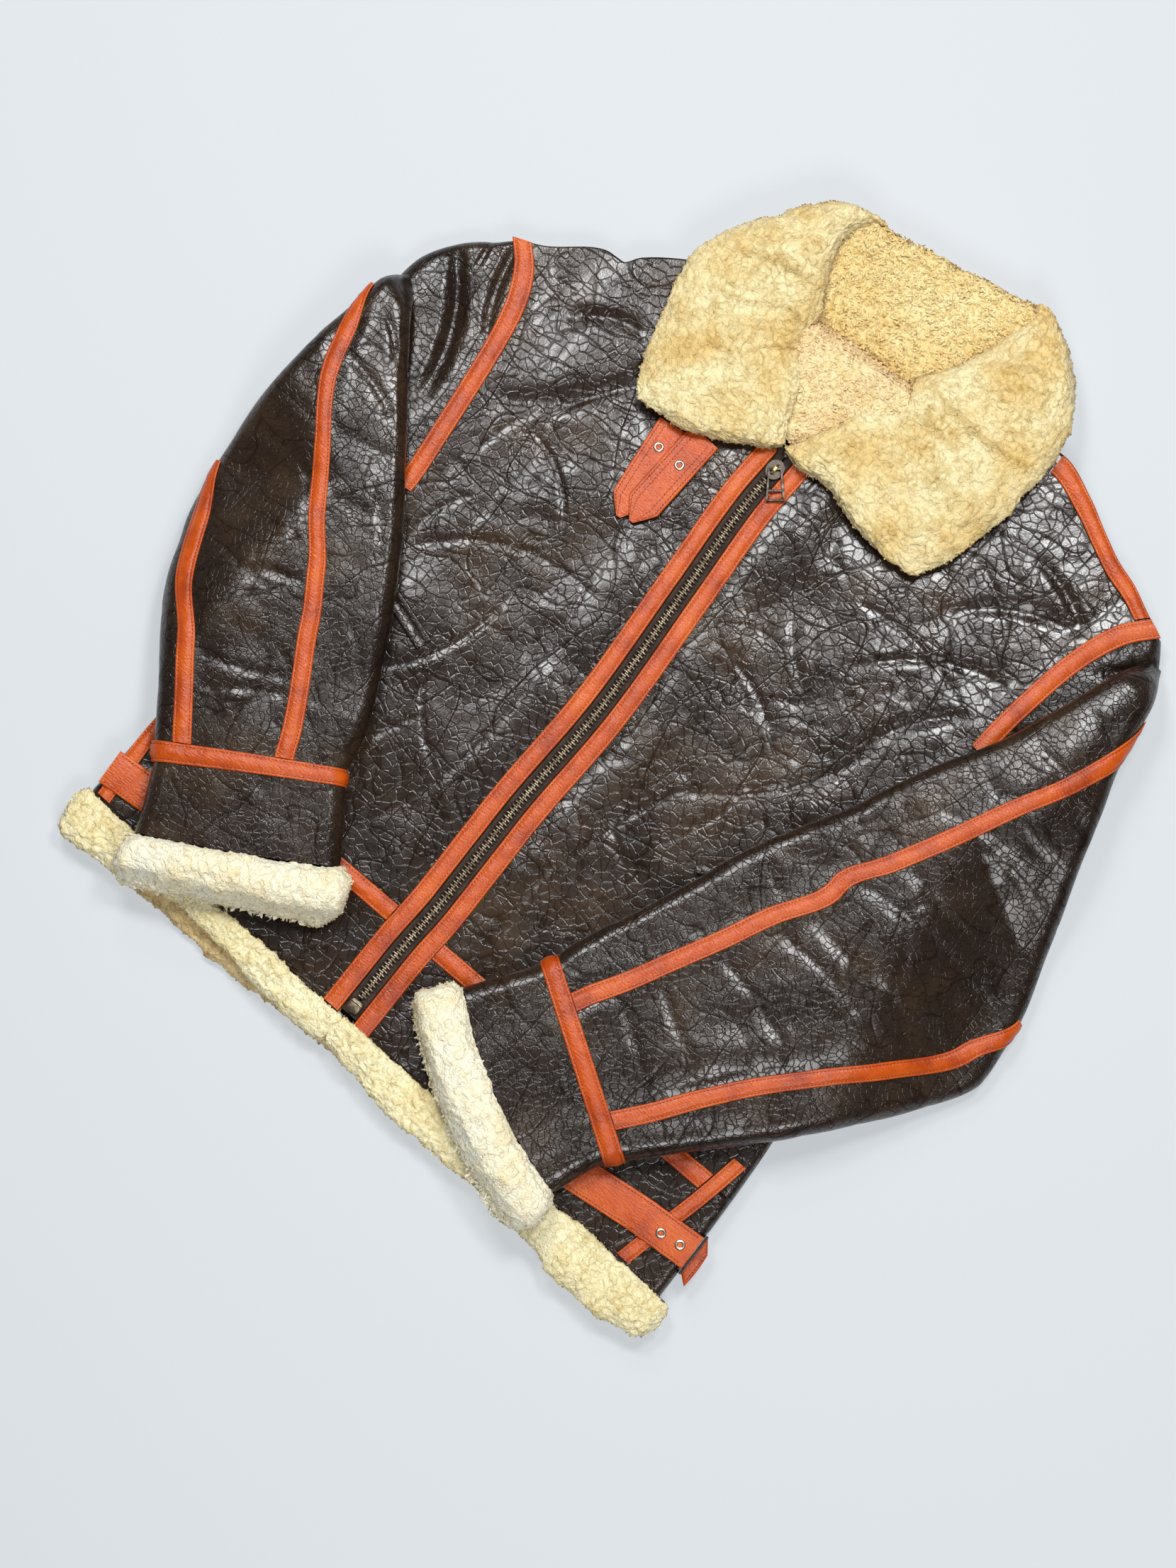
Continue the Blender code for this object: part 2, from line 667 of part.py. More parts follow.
def panel_places(station, start, end, count):
    """Places across a panel. The second and the last but one lie where a seam trim ends."""
    inset = min(TRIM_HALF, 0.3 * (end - start))
    inner = even_places(station, start + inset, end - inset, count)
    return [start + SEAM_GAP / 2] + inner + [end - SEAM_GAP / 2]


def tube_panel(name, stations, bounds, count, surface):
    """A sleeve panel between two seams: an outer skin and an inner one beside the slit."""
    outer, inner = [], []
    for station in stations:
        start, end = bounds(station)
        places = panel_places(station, start, end, count)
        outer.append([ring_point(station, place) for place in places])
        places = [start + 1.2] + places[1:-1] + [end - 1.2]
        inner.append([ring_point(station, place, within=True) for place in places])
    return wall(name, outer, inner, surface)


def upper_bounds(station):
    return station.outer_seam, station.inner_seam


def under_bounds(station):
    width = math.hypot(station.inner_x - station.outer_x, station.inner_y - station.outer_y)
    return station.inner_seam, 2 * ring_size(width)[1] + station.outer_seam


def tube_trim(name, stations, places, surface, short=0.0):
    """A strip over the tube, from its own points moved out. It can stop short of its last station."""
    outer, inner = [], []
    for station in stations:
        row_out, row_in = [], []
        line = places(station)
        for column, place in enumerate(line):
            puff = TRIM_PUFF if 0 < column < len(line) - 1 else 0.0
            row_out.append(ring_point(station, place, out=RING_LIFT + TRIM_THICK + puff))
            row_in.append(ring_point(station, place, out=RING_LIFT))
        outer.append(row_out)
        inner.append(row_in)
    if short:
        part = 1 - short / math.dist(outer[-2][1], outer[-1][1])
        for grid in (outer, inner):
            grid[-1] = [
                tuple(mix(a, b, part) for a, b in zip(before, last))
                for before, last in zip(grid[-2], grid[-1])
            ]
    return wall(name, outer, inner, surface)


def seam_places(seam):
    def places(station):
        middle = getattr(station, seam)
        return middle - TRIM_HALF, middle, middle + TRIM_HALF
    return places


def band_station(cuff, sleeve_end, shift=0.0):
    return Station(
        0, cuff.outer_x, cuff.outer_y - shift, cuff.inner_x, cuff.inner_y - shift,
        sleeve_end.outer_seam, sleeve_end.inner_seam,
    )


def ring_places(station):
    """Places of both panels, all round the tube."""
    upper = panel_places(station, *upper_bounds(station), UPPER_SPANS)
    under = panel_places(station, *under_bounds(station), UNDER_SPANS)
    return upper, under[1:-1]


def cuff_ring(name, cuffs, sleeve_end, surface, gap):
    """A closed band or fur roll round the end of a sleeve."""
    outer, inner = [], []
    for k, cuff in enumerate(cuffs):
        station = band_station(cuff, sleeve_end, gap if k == 0 else 0.0)
        upper, under = ring_places(station)
        form = {"swell": cuff.swell, "bow": cuff.bow}
        outer.append([ring_point(station, place, **form) for place in upper + under])
        inner.append([ring_point(station, place, within=True, **form) for place in upper + under])
    return wall(name, outer, inner, surface, closed=True)


def cuff_trim(name, stations, cuff_rows):
    """The band over the cuff seam. It wraps the edges and stops short of the under side."""
    seam_row = stations[-1]
    upper, under = ring_places(seam_row)
    width = math.hypot(seam_row.inner_x - seam_row.outer_x, seam_row.inner_y - seam_row.outer_y)
    top = ring_size(width)[1]
    before = sum(1 for place in under if place < 2 * top - 14)
    after = sum(1 for place in under if place < top + 14)

    def places(station):
        upper, under = ring_places(station)
        return under[before:] + upper + under[:after]

    rows = [stations[-2], seam_row, band_station(cuff_rows[1], seam_row)]
    tube_trim(name, rows, places, orange_leather())


def sleeve(side_name, table, extra, cuff_rows, fur_rows):
    """One sleeve. The extra steps lie where a seam rolls over the edge."""
    steps = sorted([row.step for row in table] + extra)
    stations = [curve(table, step) for step in steps]
    starts = {"outer": steps.index(OUTER_TRIM_START[side_name]), "inner": steps.index(INNER_TRIM_START)}
    tube_panel("sleeve_upper_" + side_name, stations, upper_bounds, UPPER_SPANS, brown_leather())
    tube_panel("sleeve_under_" + side_name, stations, under_bounds, UNDER_SPANS, brown_leather())
    for seam in ("outer", "inner"):
        name = f"sleeve_{seam}_trim_{side_name}"
        places = seam_places(seam + "_seam")
        tube_trim(name, stations[starts[seam]:-1], places, orange_leather(), short=1.2)
    cuff_trim("cuff_trim_" + side_name, stations, cuff_rows)
    cuff_ring("cuff_band_" + side_name, cuff_rows, stations[-1], brown_leather(), SEAM_GAP)
    cuff_ring("cuff_fur_" + side_name, fur_rows, stations[-1], cream_fur(), 0.5)


# Collar


def collar_lobe(name, lobes):
    outer, inner = [], []
    for lobe in lobes:
        top_row, under_row = [], []
        for roll in LOBE_ROLL:
            x = mix(lobe.inner_x, lobe.outer_x, roll.part)
            y = mix(lobe.inner_y, lobe.outer_y, roll.part)
            rest = rest_height(x, y)
            thick = REST_TOP + lobe.thick - rest
            top_row.append((x, y, rest + thick * roll.top))
            under_row.append((x, y, rest + thick * roll.under))
        outer.append(top_row)
        inner.append(under_row)
    return wall(name, outer, inner, cream_fur())


def collar_between(name, ends, tops, unders, surface):
    """A collar piece that fills the space between the two lobes."""
    outer, inner = [], []
    for (right, left), top, under in zip(ends, tops, unders):
        places = [(mix(right[0], left[0], k / 8), mix(right[1], left[1], k / 8)) for k in range(9)]
        outer.append([(x, y, top) for x, y in places])
        inner.append([(x, y, under) for x, y in places])
    return wall(name, outer, inner, surface)


def lobe_ends(row, margin):
    """The lobes' inner points at a row, moved apart by a margin."""
    i = min(int(row), len(RIGHT_LOBE) - 2)
    ends = []
    for table, sign in ((RIGHT_LOBE, -1), (LEFT_LOBE, 1)):
        x = mix(table[i].inner_x, table[i + 1].inner_x, row - i)
        y = mix(table[i].inner_y, table[i + 1].inner_y, row - i)
        ends.append((x + sign * margin, y))
    return ends


def collar():
    collar_lobe("collar_lobe_right", RIGHT_LOBE)
    collar_lobe("collar_lobe_left", LEFT_LOBE)
    back_rows = range(NECK_ROW, len(RIGHT_LOBE))
    back_ends = [lobe_ends(row, -0.9) for row in back_rows]
    collar_between("collar_back", back_ends, BACK_COLLAR_TOP, BACK_COLLAR_UNDER, golden_fur())
    lining_ends = [lobe_ends(0.5, 1.0)] + [lobe_ends(row, 4.0) for row in range(1, NECK_ROW)]
    lining_ends.append(lobe_ends(NECK_ROW - 0.06, 4.0))
    under = [FRONT_UNDER + 0.1] * (NECK_ROW + 1)
    collar_between("neck_lining", lining_ends, COLLAR_LINING_TOP, under, golden_fur())


# Zip


def zip_tape(name, sign):
    outer, inner = [], []
    for height in BAND_HEIGHTS[:-1] + FRONT_HEIGHTS[1:-5]:
        places = [zip_edge(sign, height, offset) for offset in (0.0, TAPE_EDGE - 0.4)]
        outer.append([(x, body_y(height, x), TAPE_HIGH) for x in places])
        inner.append([(x, body_y(height, x), TAPE_LOW) for x in places])
    return wall(name, outer, inner, brown_tape())


def zip_chain():
    outer, inner = [], []
    for height in [ZIP_FOOT + 3.0] + [h for h in FRONT_HEIGHTS if 10 < h < ZIP_TOP - 12] + [ZIP_TOP]:
        middle = curve(ZIP_LINE, height).x
        places = [middle - CHAIN_HALF, middle, middle + CHAIN_HALF]
        outer.append([
            (x, height, CHAIN_HIGH - (0.7 if column != 1 else 0.0)) for column, x in enumerate(places)
        ])
        inner.append([(x, height, CHAIN_LOW) for x in places])
    return wall("zip_chain", outer, inner, dark_brass())


def zip_box():
    low, high = -4.0, ZIP_FOOT
    middle = curve(ZIP_LINE, 0).x
    outline = [(middle - 6, low), (middle + 6, low), (middle + 6, high), (middle - 6, high)]
    return plate("zip_box", outline, CHAIN_LOW, CHAIN_HIGH + 0.6, dark_brass())


def slider():
    """The slider's body with the low bridge that carries the pull tab."""
    middle = curve(ZIP_LINE, SLIDER_Y).x
    outline = []
    for k in range(16):
        angle = 2 * math.pi * k / 16
        outline.append((middle + 7.6 * math.cos(angle), SLIDER_Y + SLIDER_HALF * math.sin(angle)))
    body = plate("zip_slider", outline, CHAIN_LOW, SLIDER_TOP, dark_brass())
    bridge_under = PULL_Z + WIRE / 2 + 0.5
    profile = [
        (-ARCH_HALF - ARCH_THICK, SLIDER_TOP - 1), (-ARCH_HALF - ARCH_THICK, bridge_under),
        (-ARCH_HALF * 0.6, bridge_under + ARCH_THICK), (ARCH_HALF * 0.6, bridge_under + ARCH_THICK),
        (ARCH_HALF + ARCH_THICK, bridge_under), (ARCH_HALF + ARCH_THICK, SLIDER_TOP - 1),
        (ARCH_HALF, SLIDER_TOP - 1), (ARCH_HALF, bridge_under - 0.2), (ARCH_HALF * 0.5, bridge_under),
        (-ARCH_HALF * 0.5, bridge_under), (-ARCH_HALF, bridge_under - 0.2), (-ARCH_HALF, SLIDER_TOP - 1),
    ]
    sides = []
    for x in (middle - ARCH_WIDE / 2, middle + ARCH_WIDE / 2):
        sides.append([(x, SLIDER_Y + along, high) for along, high in profile])
    count = len(profile)
    points = [metres(point) for side in sides for point in side]
    faces = [tuple(range(count)), tuple(reversed(range(count, 2 * count)))]
    for k in range(count):
        faces.append((k, (k + 1) % count, count + (k + 1) % count, count + k))
    mesh = bpy.data.meshes.new("slider_bridge")
    mesh.from_pydata(points, [], faces)
    shape = bmesh.new()
    shape.from_mesh(mesh)
    bmesh.ops.recalc_face_normals(shape, faces=shape.faces)
    shape.to_mesh(mesh)
    shape.free()
    bridge = finish("slider_bridge", mesh, dark_brass())
    bridge.hide_render = True
    bridge.display_type = "WIRE"
    joined = body.modifiers.new("bridge", "BOOLEAN")
    joined.operation = "UNION"
    joined.object = bridge
    return body


def pull_tab():
    """A wire ring with a cross bar, hinged under the slider's bridge, lying to the side."""
    middle = curve(ZIP_LINE, SLIDER_Y).x
    top_half, end_half = 5.8, 8.0
    rows = [-WIRE / 2, WIRE / 2, 17.5, 19.0, PULL_LENGTH - WIRE, PULL_LENGTH]
    points, faces = [], []
    for down in rows:
        half = mix(top_half, end_half, max(down, 0) / PULL_LENGTH)
        for x in (-half, -half + WIRE, half - WIRE, half):
            points.append((x * MM, -down * MM, 0.0))
    windows = {(1, 1), (3, 1)}
    for row in range(len(rows) - 1):
        for column in range(3):
            if (row, column) not in windows:
                a = row * 4 + column
                faces.append((a, a + 4, a + 5, a + 1))
    mesh = bpy.data.meshes.new("zip_pull")
    mesh.from_pydata(points, [], faces)
    tab = finish("zip_pull", mesh, dark_brass())
    tab.location = metres((middle, SLIDER_Y, PULL_Z))
    tab.rotation_euler = (0, 0, LEAN)
    thick = tab.modifiers.new("wire", "SOLIDIFY")
    thick.thickness = WIRE * MM
    thick.offset = 0.0
    return tab


# Straps, welts, buckle and eyelets


def strap(name, rows, low, surface, unders=None):
    """A flat leather strap from rows of points across it."""
    outer, inner = [], []
    for row in rows:
        lows = unders or [low] * len(row)
        outer.append([(x, y, under + STRAP_THICK) for (x, y), under in zip(row, lows)])
        inner.append([(x, y, under) for (x, y), under in zip(row, lows)])
    return wall(name, outer, inner, surface)


def collar_straps():
    low = FRONT_TOP + 0.3
    lower = [
        [(-84, 461), (-77, 455), (-72, 461)], [(-94, 473), (-79, 472), (-66, 472)],
        [(-97, 500), (-82, 500), (-68, 500)], [(-99, 536), (-86, 542), (-70, 549)],
    ]
    strap("collar_strap_lower", lower, low, orange_leather())
    high = low + STRAP_THICK + 0.3
    unders = [high, high, low]
    upper = [
        [(-72, 466), (-66, 458), (-60, 466)], [(-80, 478), (-66, 478), (-51, 479)],
        [(-78, 505), (-65, 505), (-49, 505)], [(-76, 545), (-61, 551), (-47, 558)],
    ]
    strap("collar_strap_upper", upper, high, orange_leather(), unders)


def waist_straps():
    low = FRONT_TOP + 0.3
    over_trim = low + TRIM_THICK + TRIM_PUFF + 0.3
    for name, shown in (
        ("waist_strap_right", [(-281, 34), (-258, 35), (-240, 36), (-200, 37)]),
        ("waist_strap_left", [(200, 3), (240, 8), (288, 10), (312, 11), (341.9, 12)]),
    ):
        outer, inner = [], []
        for x, y in shown:
            raised = over_trim if x < -256 or x > 286 else low
            line = [(x, y - 15.5), (x, y), (x, y + 15.5)]
            outer.append([(a, b, raised + STRAP_THICK + 0.2) for a, b in line])
            inner.append([(a, b, raised) for a, b in line])
        wall(name, outer, inner, orange_leather())


def washer(name, x, y, low, outer_radius, hole_radius, thick, surface):
    outer, inner = [], []
    count = 14
    for radius, top, under in (
        (outer_radius, 0.4 * thick, 0.0), ((outer_radius + hole_radius) / 2, thick, 0.0),
        (hole_radius, 0.4 * thick, 0.0),
    ):
        angles = [2 * math.pi * k / count for k in range(count)]
        ring = [(x + radius * math.cos(angle), y + radius * math.sin(angle)) for angle in angles]
        outer.append([(a, b, low + top) for a, b in ring])
        inner.append([(a, b, low + under) for a, b in ring])
    return wall(name, outer, inner, surface, closed=True)


def eyelets():
    low = FRONT_TOP + 0.3 + STRAP_THICK + 0.3
    washer("collar_eyelet_lower", -86, 522, low, 4.5, 2.0, 1.0, bright_nickel())
    washer("collar_eyelet_upper", -63, 520, low + STRAP_THICK + 0.4, 4.5, 2.0, 1.0, bright_nickel())
    over = FRONT_TOP + 0.6 + TRIM_THICK + TRIM_PUFF + STRAP_THICK + 0.2 + 0.4
    washer("waist_eyelet_inner", 311, 9, over, 4.5, 2.0, 1.0, bright_nickel())
    washer("waist_eyelet_outer", 329, 11, over, 4.5, 2.0, 1.0, bright_nickel())


def side_buckle():
    """A rectangular buckle standing on edge round the side of the hem, and the strap's short tail."""
    x = 342.3
    low_z, high_z = 11.0, 33.0
    low_y, high_y = -8.0, 30.0
    bar = 2.6
    points, faces = [], []
    for y in (low_y, low_y + bar, high_y - bar, high_y):
        for z in (low_z, low_z + bar, high_z - bar, high_z):
            points.append(metres((x + 0.8, y, z)))
    for row in range(3):
        for column in range(3):
            if (row, column) != (1, 1):
                a = row * 4 + column
                faces.append((a, a + 4, a + 5, a + 1))
    mesh = bpy.data.meshes.new("side_buckle")
    mesh.from_pydata(points, [], faces)
    made = finish("side_buckle", mesh, dark_brass())
    thick = made.modifiers.new("bar", "SOLIDIFY")
    thick.thickness = 1.6 * MM
    thick.offset = 0.0
    tail = [[(344.2, -7), (344.2, 11), (344.2, 29)], [(352, -14), (353, 4), (352, 18)]]
    outer = [[(a, b, 22.0) for a, b in row] for row in tail]
    inner = [[(a, b, 19.6) for a, b in row] for row in tail]
    wall("waist_strap_tail", outer, inner, orange_leather())


def pocket_welts():
    low = FRONT_TOP + 0.3
    right = [[(-206, 288), (-200, 302)], [(-142, 266), (-136, 279)]]
    left = [[(154, 257), (148, 274)], [(204, 290), (196, 308)]]
    strap("pocket_welt_right", right, low, brown_leather())
    strap("pocket_welt_left", left, low, brown_leather())


def build():
    for old in list(bpy.data.objects):
        bpy.data.objects.remove(old)
    back_panel("back_hem_band", [HEM_HEIGHT, 40, WAIST_HEIGHT - SEAM_GAP / 2])
    back_panel("back_panel", [WAIST_HEIGHT + SEAM_GAP / 2, 170, 270] + FRONT_HEIGHTS[9:])
    hem_fur("back_hem_fur", BACK_HEM_FUR, TABLE, golden_fur())
    front_panel("hem_band_right", -1, BAND_HEIGHTS)
    front_panel("hem_band_left", 1, BAND_HEIGHTS)
    front_panel("front_right", -1, FRONT_HEIGHTS)
    front_panel("front_left", 1, FRONT_HEIGHTS)
    hem_fur("hem_fur_right", RIGHT_HEM_FUR, FRONT_UNDER, cream_fur())
    hem_fur("hem_fur_left", LEFT_HEM_FUR, FRONT_UNDER, cream_fur())
    for side_name, sign in (("right", -1), ("left", 1)):
        zip_tape("zip_tape_" + side_name, sign)
        zip_trim("zip_trim_" + side_name, sign)
        waist_trim("waist_trim_" + side_name, sign)
        side_trim("side_trim_" + side_name, sign)
    shown = [height for height in FRONT_HEIGHTS if height > 372]
    armhole_trim("armhole_trim_right", -1, shown)
    armhole_trim("armhole_trim_left", 1, [height for height in shown if height > 470])
    shoulder_trim("shoulder_trim_left")
    head_heights = [height for height in FRONT_HEIGHTS if height > 372]
    sleeve_head("sleeve_head_right", -1, RIGHT_HEAD_REACH, head_heights)
    left_heights = [height for height in FRONT_HEIGHTS if height > 455]
    sleeve_head("sleeve_head_left", 1, LEFT_HEAD_REACH, left_heights)
    sleeve("right", RIGHT_SLEEVE, [1.5, 5.5], RIGHT_CUFF, RIGHT_CUFF_FUR)
    sleeve("left", LEFT_SLEEVE, [1.5, 6.5], LEFT_CUFF, LEFT_CUFF_FUR)
    collar()
    zip_chain()
    zip_box()
    slider()
    pull_tab()
    collar_straps()
    waist_straps()
    eyelets()
    side_buckle()
    pocket_welts()


build()
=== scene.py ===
from collections import namedtuple
import math

import bmesh
import bpy
import numpy as np
from mathutils import Matrix, Vector


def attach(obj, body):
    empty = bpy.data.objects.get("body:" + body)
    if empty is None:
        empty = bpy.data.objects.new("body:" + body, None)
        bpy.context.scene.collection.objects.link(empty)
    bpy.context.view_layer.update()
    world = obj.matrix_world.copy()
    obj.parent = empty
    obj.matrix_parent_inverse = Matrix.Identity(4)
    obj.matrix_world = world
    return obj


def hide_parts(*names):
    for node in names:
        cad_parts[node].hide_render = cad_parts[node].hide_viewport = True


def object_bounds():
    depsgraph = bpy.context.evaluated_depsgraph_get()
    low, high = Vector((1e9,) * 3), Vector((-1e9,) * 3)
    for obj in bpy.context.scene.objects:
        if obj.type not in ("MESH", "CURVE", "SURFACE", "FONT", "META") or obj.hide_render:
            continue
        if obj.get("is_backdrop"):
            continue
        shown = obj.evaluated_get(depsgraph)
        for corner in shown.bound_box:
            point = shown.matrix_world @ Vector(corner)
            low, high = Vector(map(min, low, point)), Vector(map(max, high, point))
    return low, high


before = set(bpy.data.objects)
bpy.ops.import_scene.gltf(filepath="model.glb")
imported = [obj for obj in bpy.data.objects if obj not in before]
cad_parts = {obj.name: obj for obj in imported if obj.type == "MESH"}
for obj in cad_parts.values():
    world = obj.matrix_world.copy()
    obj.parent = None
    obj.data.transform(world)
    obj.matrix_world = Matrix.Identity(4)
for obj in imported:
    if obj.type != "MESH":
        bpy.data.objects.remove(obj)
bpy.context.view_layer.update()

# Back and back band
# The back of the jacket is one skin of dark brown sheepskin, leather side out, with a separate band of
# the same skin sewn on below the waist. It lies flat on the table and everything else lies on it.

MILLIMETRE = 0.001
MIDDLE_X, MIDDLE_Y = 37.0, 367.0
BACK_TOP = 12.4
FRONT_UNDER, FRONT_TOP = 12.8, 25.6
HEM_HEIGHT, WAIST_HEIGHT, NECK_HEIGHT = -10.0, 80.0, 690.0
SEAM_GAP = 0.15
PANEL_LOW, BAND_HIGH = WAIST_HEIGHT + SEAM_GAP, WAIST_HEIGHT - SEAM_GAP
Side = namedtuple("Side", "height right left")
Drop = namedtuple("Drop", "x drop")


def table_of(kind, rows):
    """Rows of numbers, each with the names of its columns."""
    return [kind(*row) for row in rows]


BODY_SIDES = table_of(Side, [
    (-10, -282, 342), (50, -279, 342), (120, -275, 340), (200, -268, 330),
    (300, -252, 306), (380, -234, 284), (440, -238, 276), (500, -243, 279),
    (560, -249, 287), (600, -255, 295), (650, -268, 311), (690, -284, 332),
])
SHOULDER_LINE = table_of(Drop, [
    (-300, -104), (-269, -92), (-218, -61), (-206, -61), (-196, -49), (-163, -26), (-110, 0), (0, 6),
    (110, 15), (184, 33), (224, 18), (248, 4), (274, -10), (296, -18), (322, -32), (340, -41),
])


def flow(table, at):
    """The smooth columns of a table, read at places of its first column."""
    rows = np.array(table, float)
    keys, values = rows[:, 0], rows[:, 1:]
    steps = np.diff(values, axis=0) / np.diff(keys)[:, None]
    slopes = np.zeros_like(values)
    slopes[0], slopes[-1] = steps[0], steps[-1]
    product = steps[:-1] * steps[1:]
    total = np.where(product > 0, steps[:-1] + steps[1:], 1.0)
    slopes[1:-1] = np.where(product > 0, 2 * product / total, 0.0)
    at = np.clip(np.asarray(at, float), keys[0], keys[-1])
    i = np.clip(np.searchsorted(keys, at, side="right") - 1, 0, len(keys) - 2)
    span = (keys[i + 1] - keys[i])[..., None]
    t = (at - keys[i])[..., None] / span
    low = values[i] * (2 * t ** 3 - 3 * t ** 2 + 1) + slopes[i] * span * (t ** 3 - 2 * t ** 2 + t)
    high = values[i + 1] * (3 * t ** 2 - 2 * t ** 3) + slopes[i + 1] * span * (t ** 3 - t ** 2)
    return type(table[0])(at, *np.moveaxis(low + high, -1, 0))


def ease(part):
    part = np.clip(part, 0.0, 1.0)
    return part * part * (3 - 2 * part)


def body_y(height, x):
    up = (height - HEM_HEIGHT) / (NECK_HEIGHT - HEM_HEIGHT)
    return height - 0.065 * x * (1 - up) ** 2 + flow(SHOULDER_LINE, x).drop * up ** 3


def cloth(name, grids, surface, node, weld=False):
    """A mesh of grids of millimetre points, or of stacks of such grids, that stands for a CAD node."""
    points, faces, start = [], [], 0
    for grid in grids:
        corner = start + np.arange(grid[..., 0].size).reshape(grid.shape[:-1])
        quads = (corner[..., :-1, :-1], corner[..., :-1, 1:], corner[..., 1:, 1:], corner[..., 1:, :-1])
        faces.append(np.stack(quads, -1).reshape(-1, 4))
        points.append(grid.reshape(-1, 3))
        start += corner.size
    points = (np.concatenate(points) - np.array([MIDDLE_X, MIDDLE_Y, 0.0])) * MILLIMETRE
    faces = np.concatenate(faces)
    if weld:
        whole = np.round(points * 1e6).astype(np.int64)
        _, first, new = np.unique(whole, axis=0, return_index=True, return_inverse=True)
        points, faces = points[first], new.reshape(-1)[faces]
    mesh = bpy.data.meshes.new(name)
    mesh.vertices.add(len(points))
    mesh.vertices.foreach_set("co", points.astype(np.float32).ravel())
    mesh.loops.add(faces.size)
    mesh.loops.foreach_set("vertex_index", faces.astype(np.int32).ravel())
    mesh.polygons.add(len(faces))
    mesh.polygons.foreach_set("loop_start", np.arange(0, faces.size, 4, dtype=np.int32))
    mesh.polygons.foreach_set("use_smooth", np.full(len(faces), True))
    mesh.update(calc_edges=True)
    mesh.validate()
    if weld:
        shape = bmesh.new()
        shape.from_mesh(mesh)
        bmesh.ops.recalc_face_normals(shape, faces=shape.faces)
        shape.to_mesh(mesh)
        shape.free()
    mesh.materials.append(surface)
    made = bpy.data.objects.new(name, mesh)
    bpy.context.scene.collection.objects.link(made)
    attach(made, "jacket")
    if node:
        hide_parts(node)
    return made


def random_at(corner, seed):
    """A repeatable random value from 0 to 1 for each whole-number corner."""
    mixed = corner[..., 0] * 73856093 ^ corner[..., 1] * 19349663 ^ corner[..., 2] * 83492791
    mixed = (mixed + seed * 2654435761) & 0xFFFFFFFF
    mixed = ((mixed ^ (mixed >> 15)) * 2246822519) & 0xFFFFFFFF
    mixed = ((mixed ^ (mixed >> 13)) * 3266489917) & 0xFFFFFFFF
    return ((mixed ^ (mixed >> 16)) & 0xFFFFFF) / 0xFFFFFF


def waver(points, size, seed):
    """Smooth random swells from -1 to 1, about a size across."""
    place = points / size + seed * 0.37
    base = np.floor(place).astype(np.int64)
    part = ease(place - base)
    total = np.zeros(points.shape[:-1])
    for dx in (0, 1):
        for dy in (0, 1):
            for dz in (0, 1):
                weight = 1.0
                for axis, step in enumerate((dx, dy, dz)):
                    weight = weight * (part[..., axis] if step else 1 - part[..., axis])
                total += weight * random_at(base + np.array([dx, dy, dz]), seed)
    return total * 2 - 1


def stack(x, y, z):
    return np.stack(np.broadcast_arrays(x, y, z), -1).astype(float)


def unit(ways, least=1e-9):
    return ways / np.maximum(np.linalg.norm(ways, axis=-1, keepdims=True), least)


def fed(tree, node, sockets):
    """Fills the inputs of a shader node: another node's output as a link, other values as they are."""
    for key, value in sockets.items():
        if isinstance(value, bpy.types.NodeSocket):
            tree.links.new(value, node.inputs[key])
        else:
            node.inputs[key].default_value = value
    return node


def node_of(tree, kind, sockets, **values):
    made = tree.nodes.new(kind)
    for key, value in values.items():
        setattr(made, key, value)
    return fed(tree, made, sockets)


def plain_surface(name, colour, roughness, metallic=0.0):
    made = bpy.data.materials.new(name)
    made.use_nodes = True
    tree = made.node_tree
    shader = tree.nodes["Principled BSDF"]
    fed(tree, shader, {"Base Color": (*colour, 1.0), "Roughness": roughness, "Metallic": metallic})
    return made, tree, shader


def mapped(tree, stretch=(1, 1, 1), turn=0.0):
    where = node_of(tree, "ShaderNodeTexCoord", {}).outputs["Object"]
    sockets = {"Vector": where, "Scale": stretch, "Rotation": (0, 0, turn)}
    return node_of(tree, "ShaderNodeMapping", sockets).outputs["Vector"]


def noise_of(tree, vector, size, detail=4.0, rough=0.55, output="Fac"):
    """Cloudy noise whose lumps are about a size in millimetres."""
    sockets = {"Vector": vector, "Scale": 1000.0 / size, "Detail": detail, "Roughness": rough}
    return node_of(tree, "ShaderNodeTexNoise", sockets).outputs[output]


def ramp_of(tree, value, stops):
    made = node_of(tree, "ShaderNodeValToRGB", {"Fac": value})
    while len(made.color_ramp.elements) < len(stops):
        made.color_ramp.elements.new(0.5)
    for element, (place, colour) in zip(made.color_ramp.elements, stops):
        element.position = place
        element.color = (*colour, 1.0)
    return made.outputs["Color"]


def grey(value):
    return (value, value, value)


def sum_of(tree, a, b, operation="ADD"):
    return node_of(tree, "ShaderNodeMath", {0: a, 1: b}, operation=operation).outputs[0]


def scaled(tree, a, b):
    return sum_of(tree, a, b, "MULTIPLY")


def bumped(tree, shader, height, depth):
    """Raises the surface by a height map, its full range being a depth in millimetres."""
    sockets = {"Strength": 1.0, "Distance": depth * MILLIMETRE, "Height": height}
    bump = node_of(tree, "ShaderNodeBump", sockets)
    tree.links.new(bump.outputs["Normal"], shader.inputs["Normal"])


def warped(tree, vector, size, amount):
    """The same coordinates pushed about, so that cells lose their straight sides."""
    noise = noise_of(tree, vector, size, 3.0, output="Color")
    sockets = {0: noise, 1: (amount * MILLIMETRE,) * 3, 2: vector}
    return node_of(tree, "ShaderNodeVectorMath", sockets, operation="MULTIPLY_ADD").outputs["Vector"]


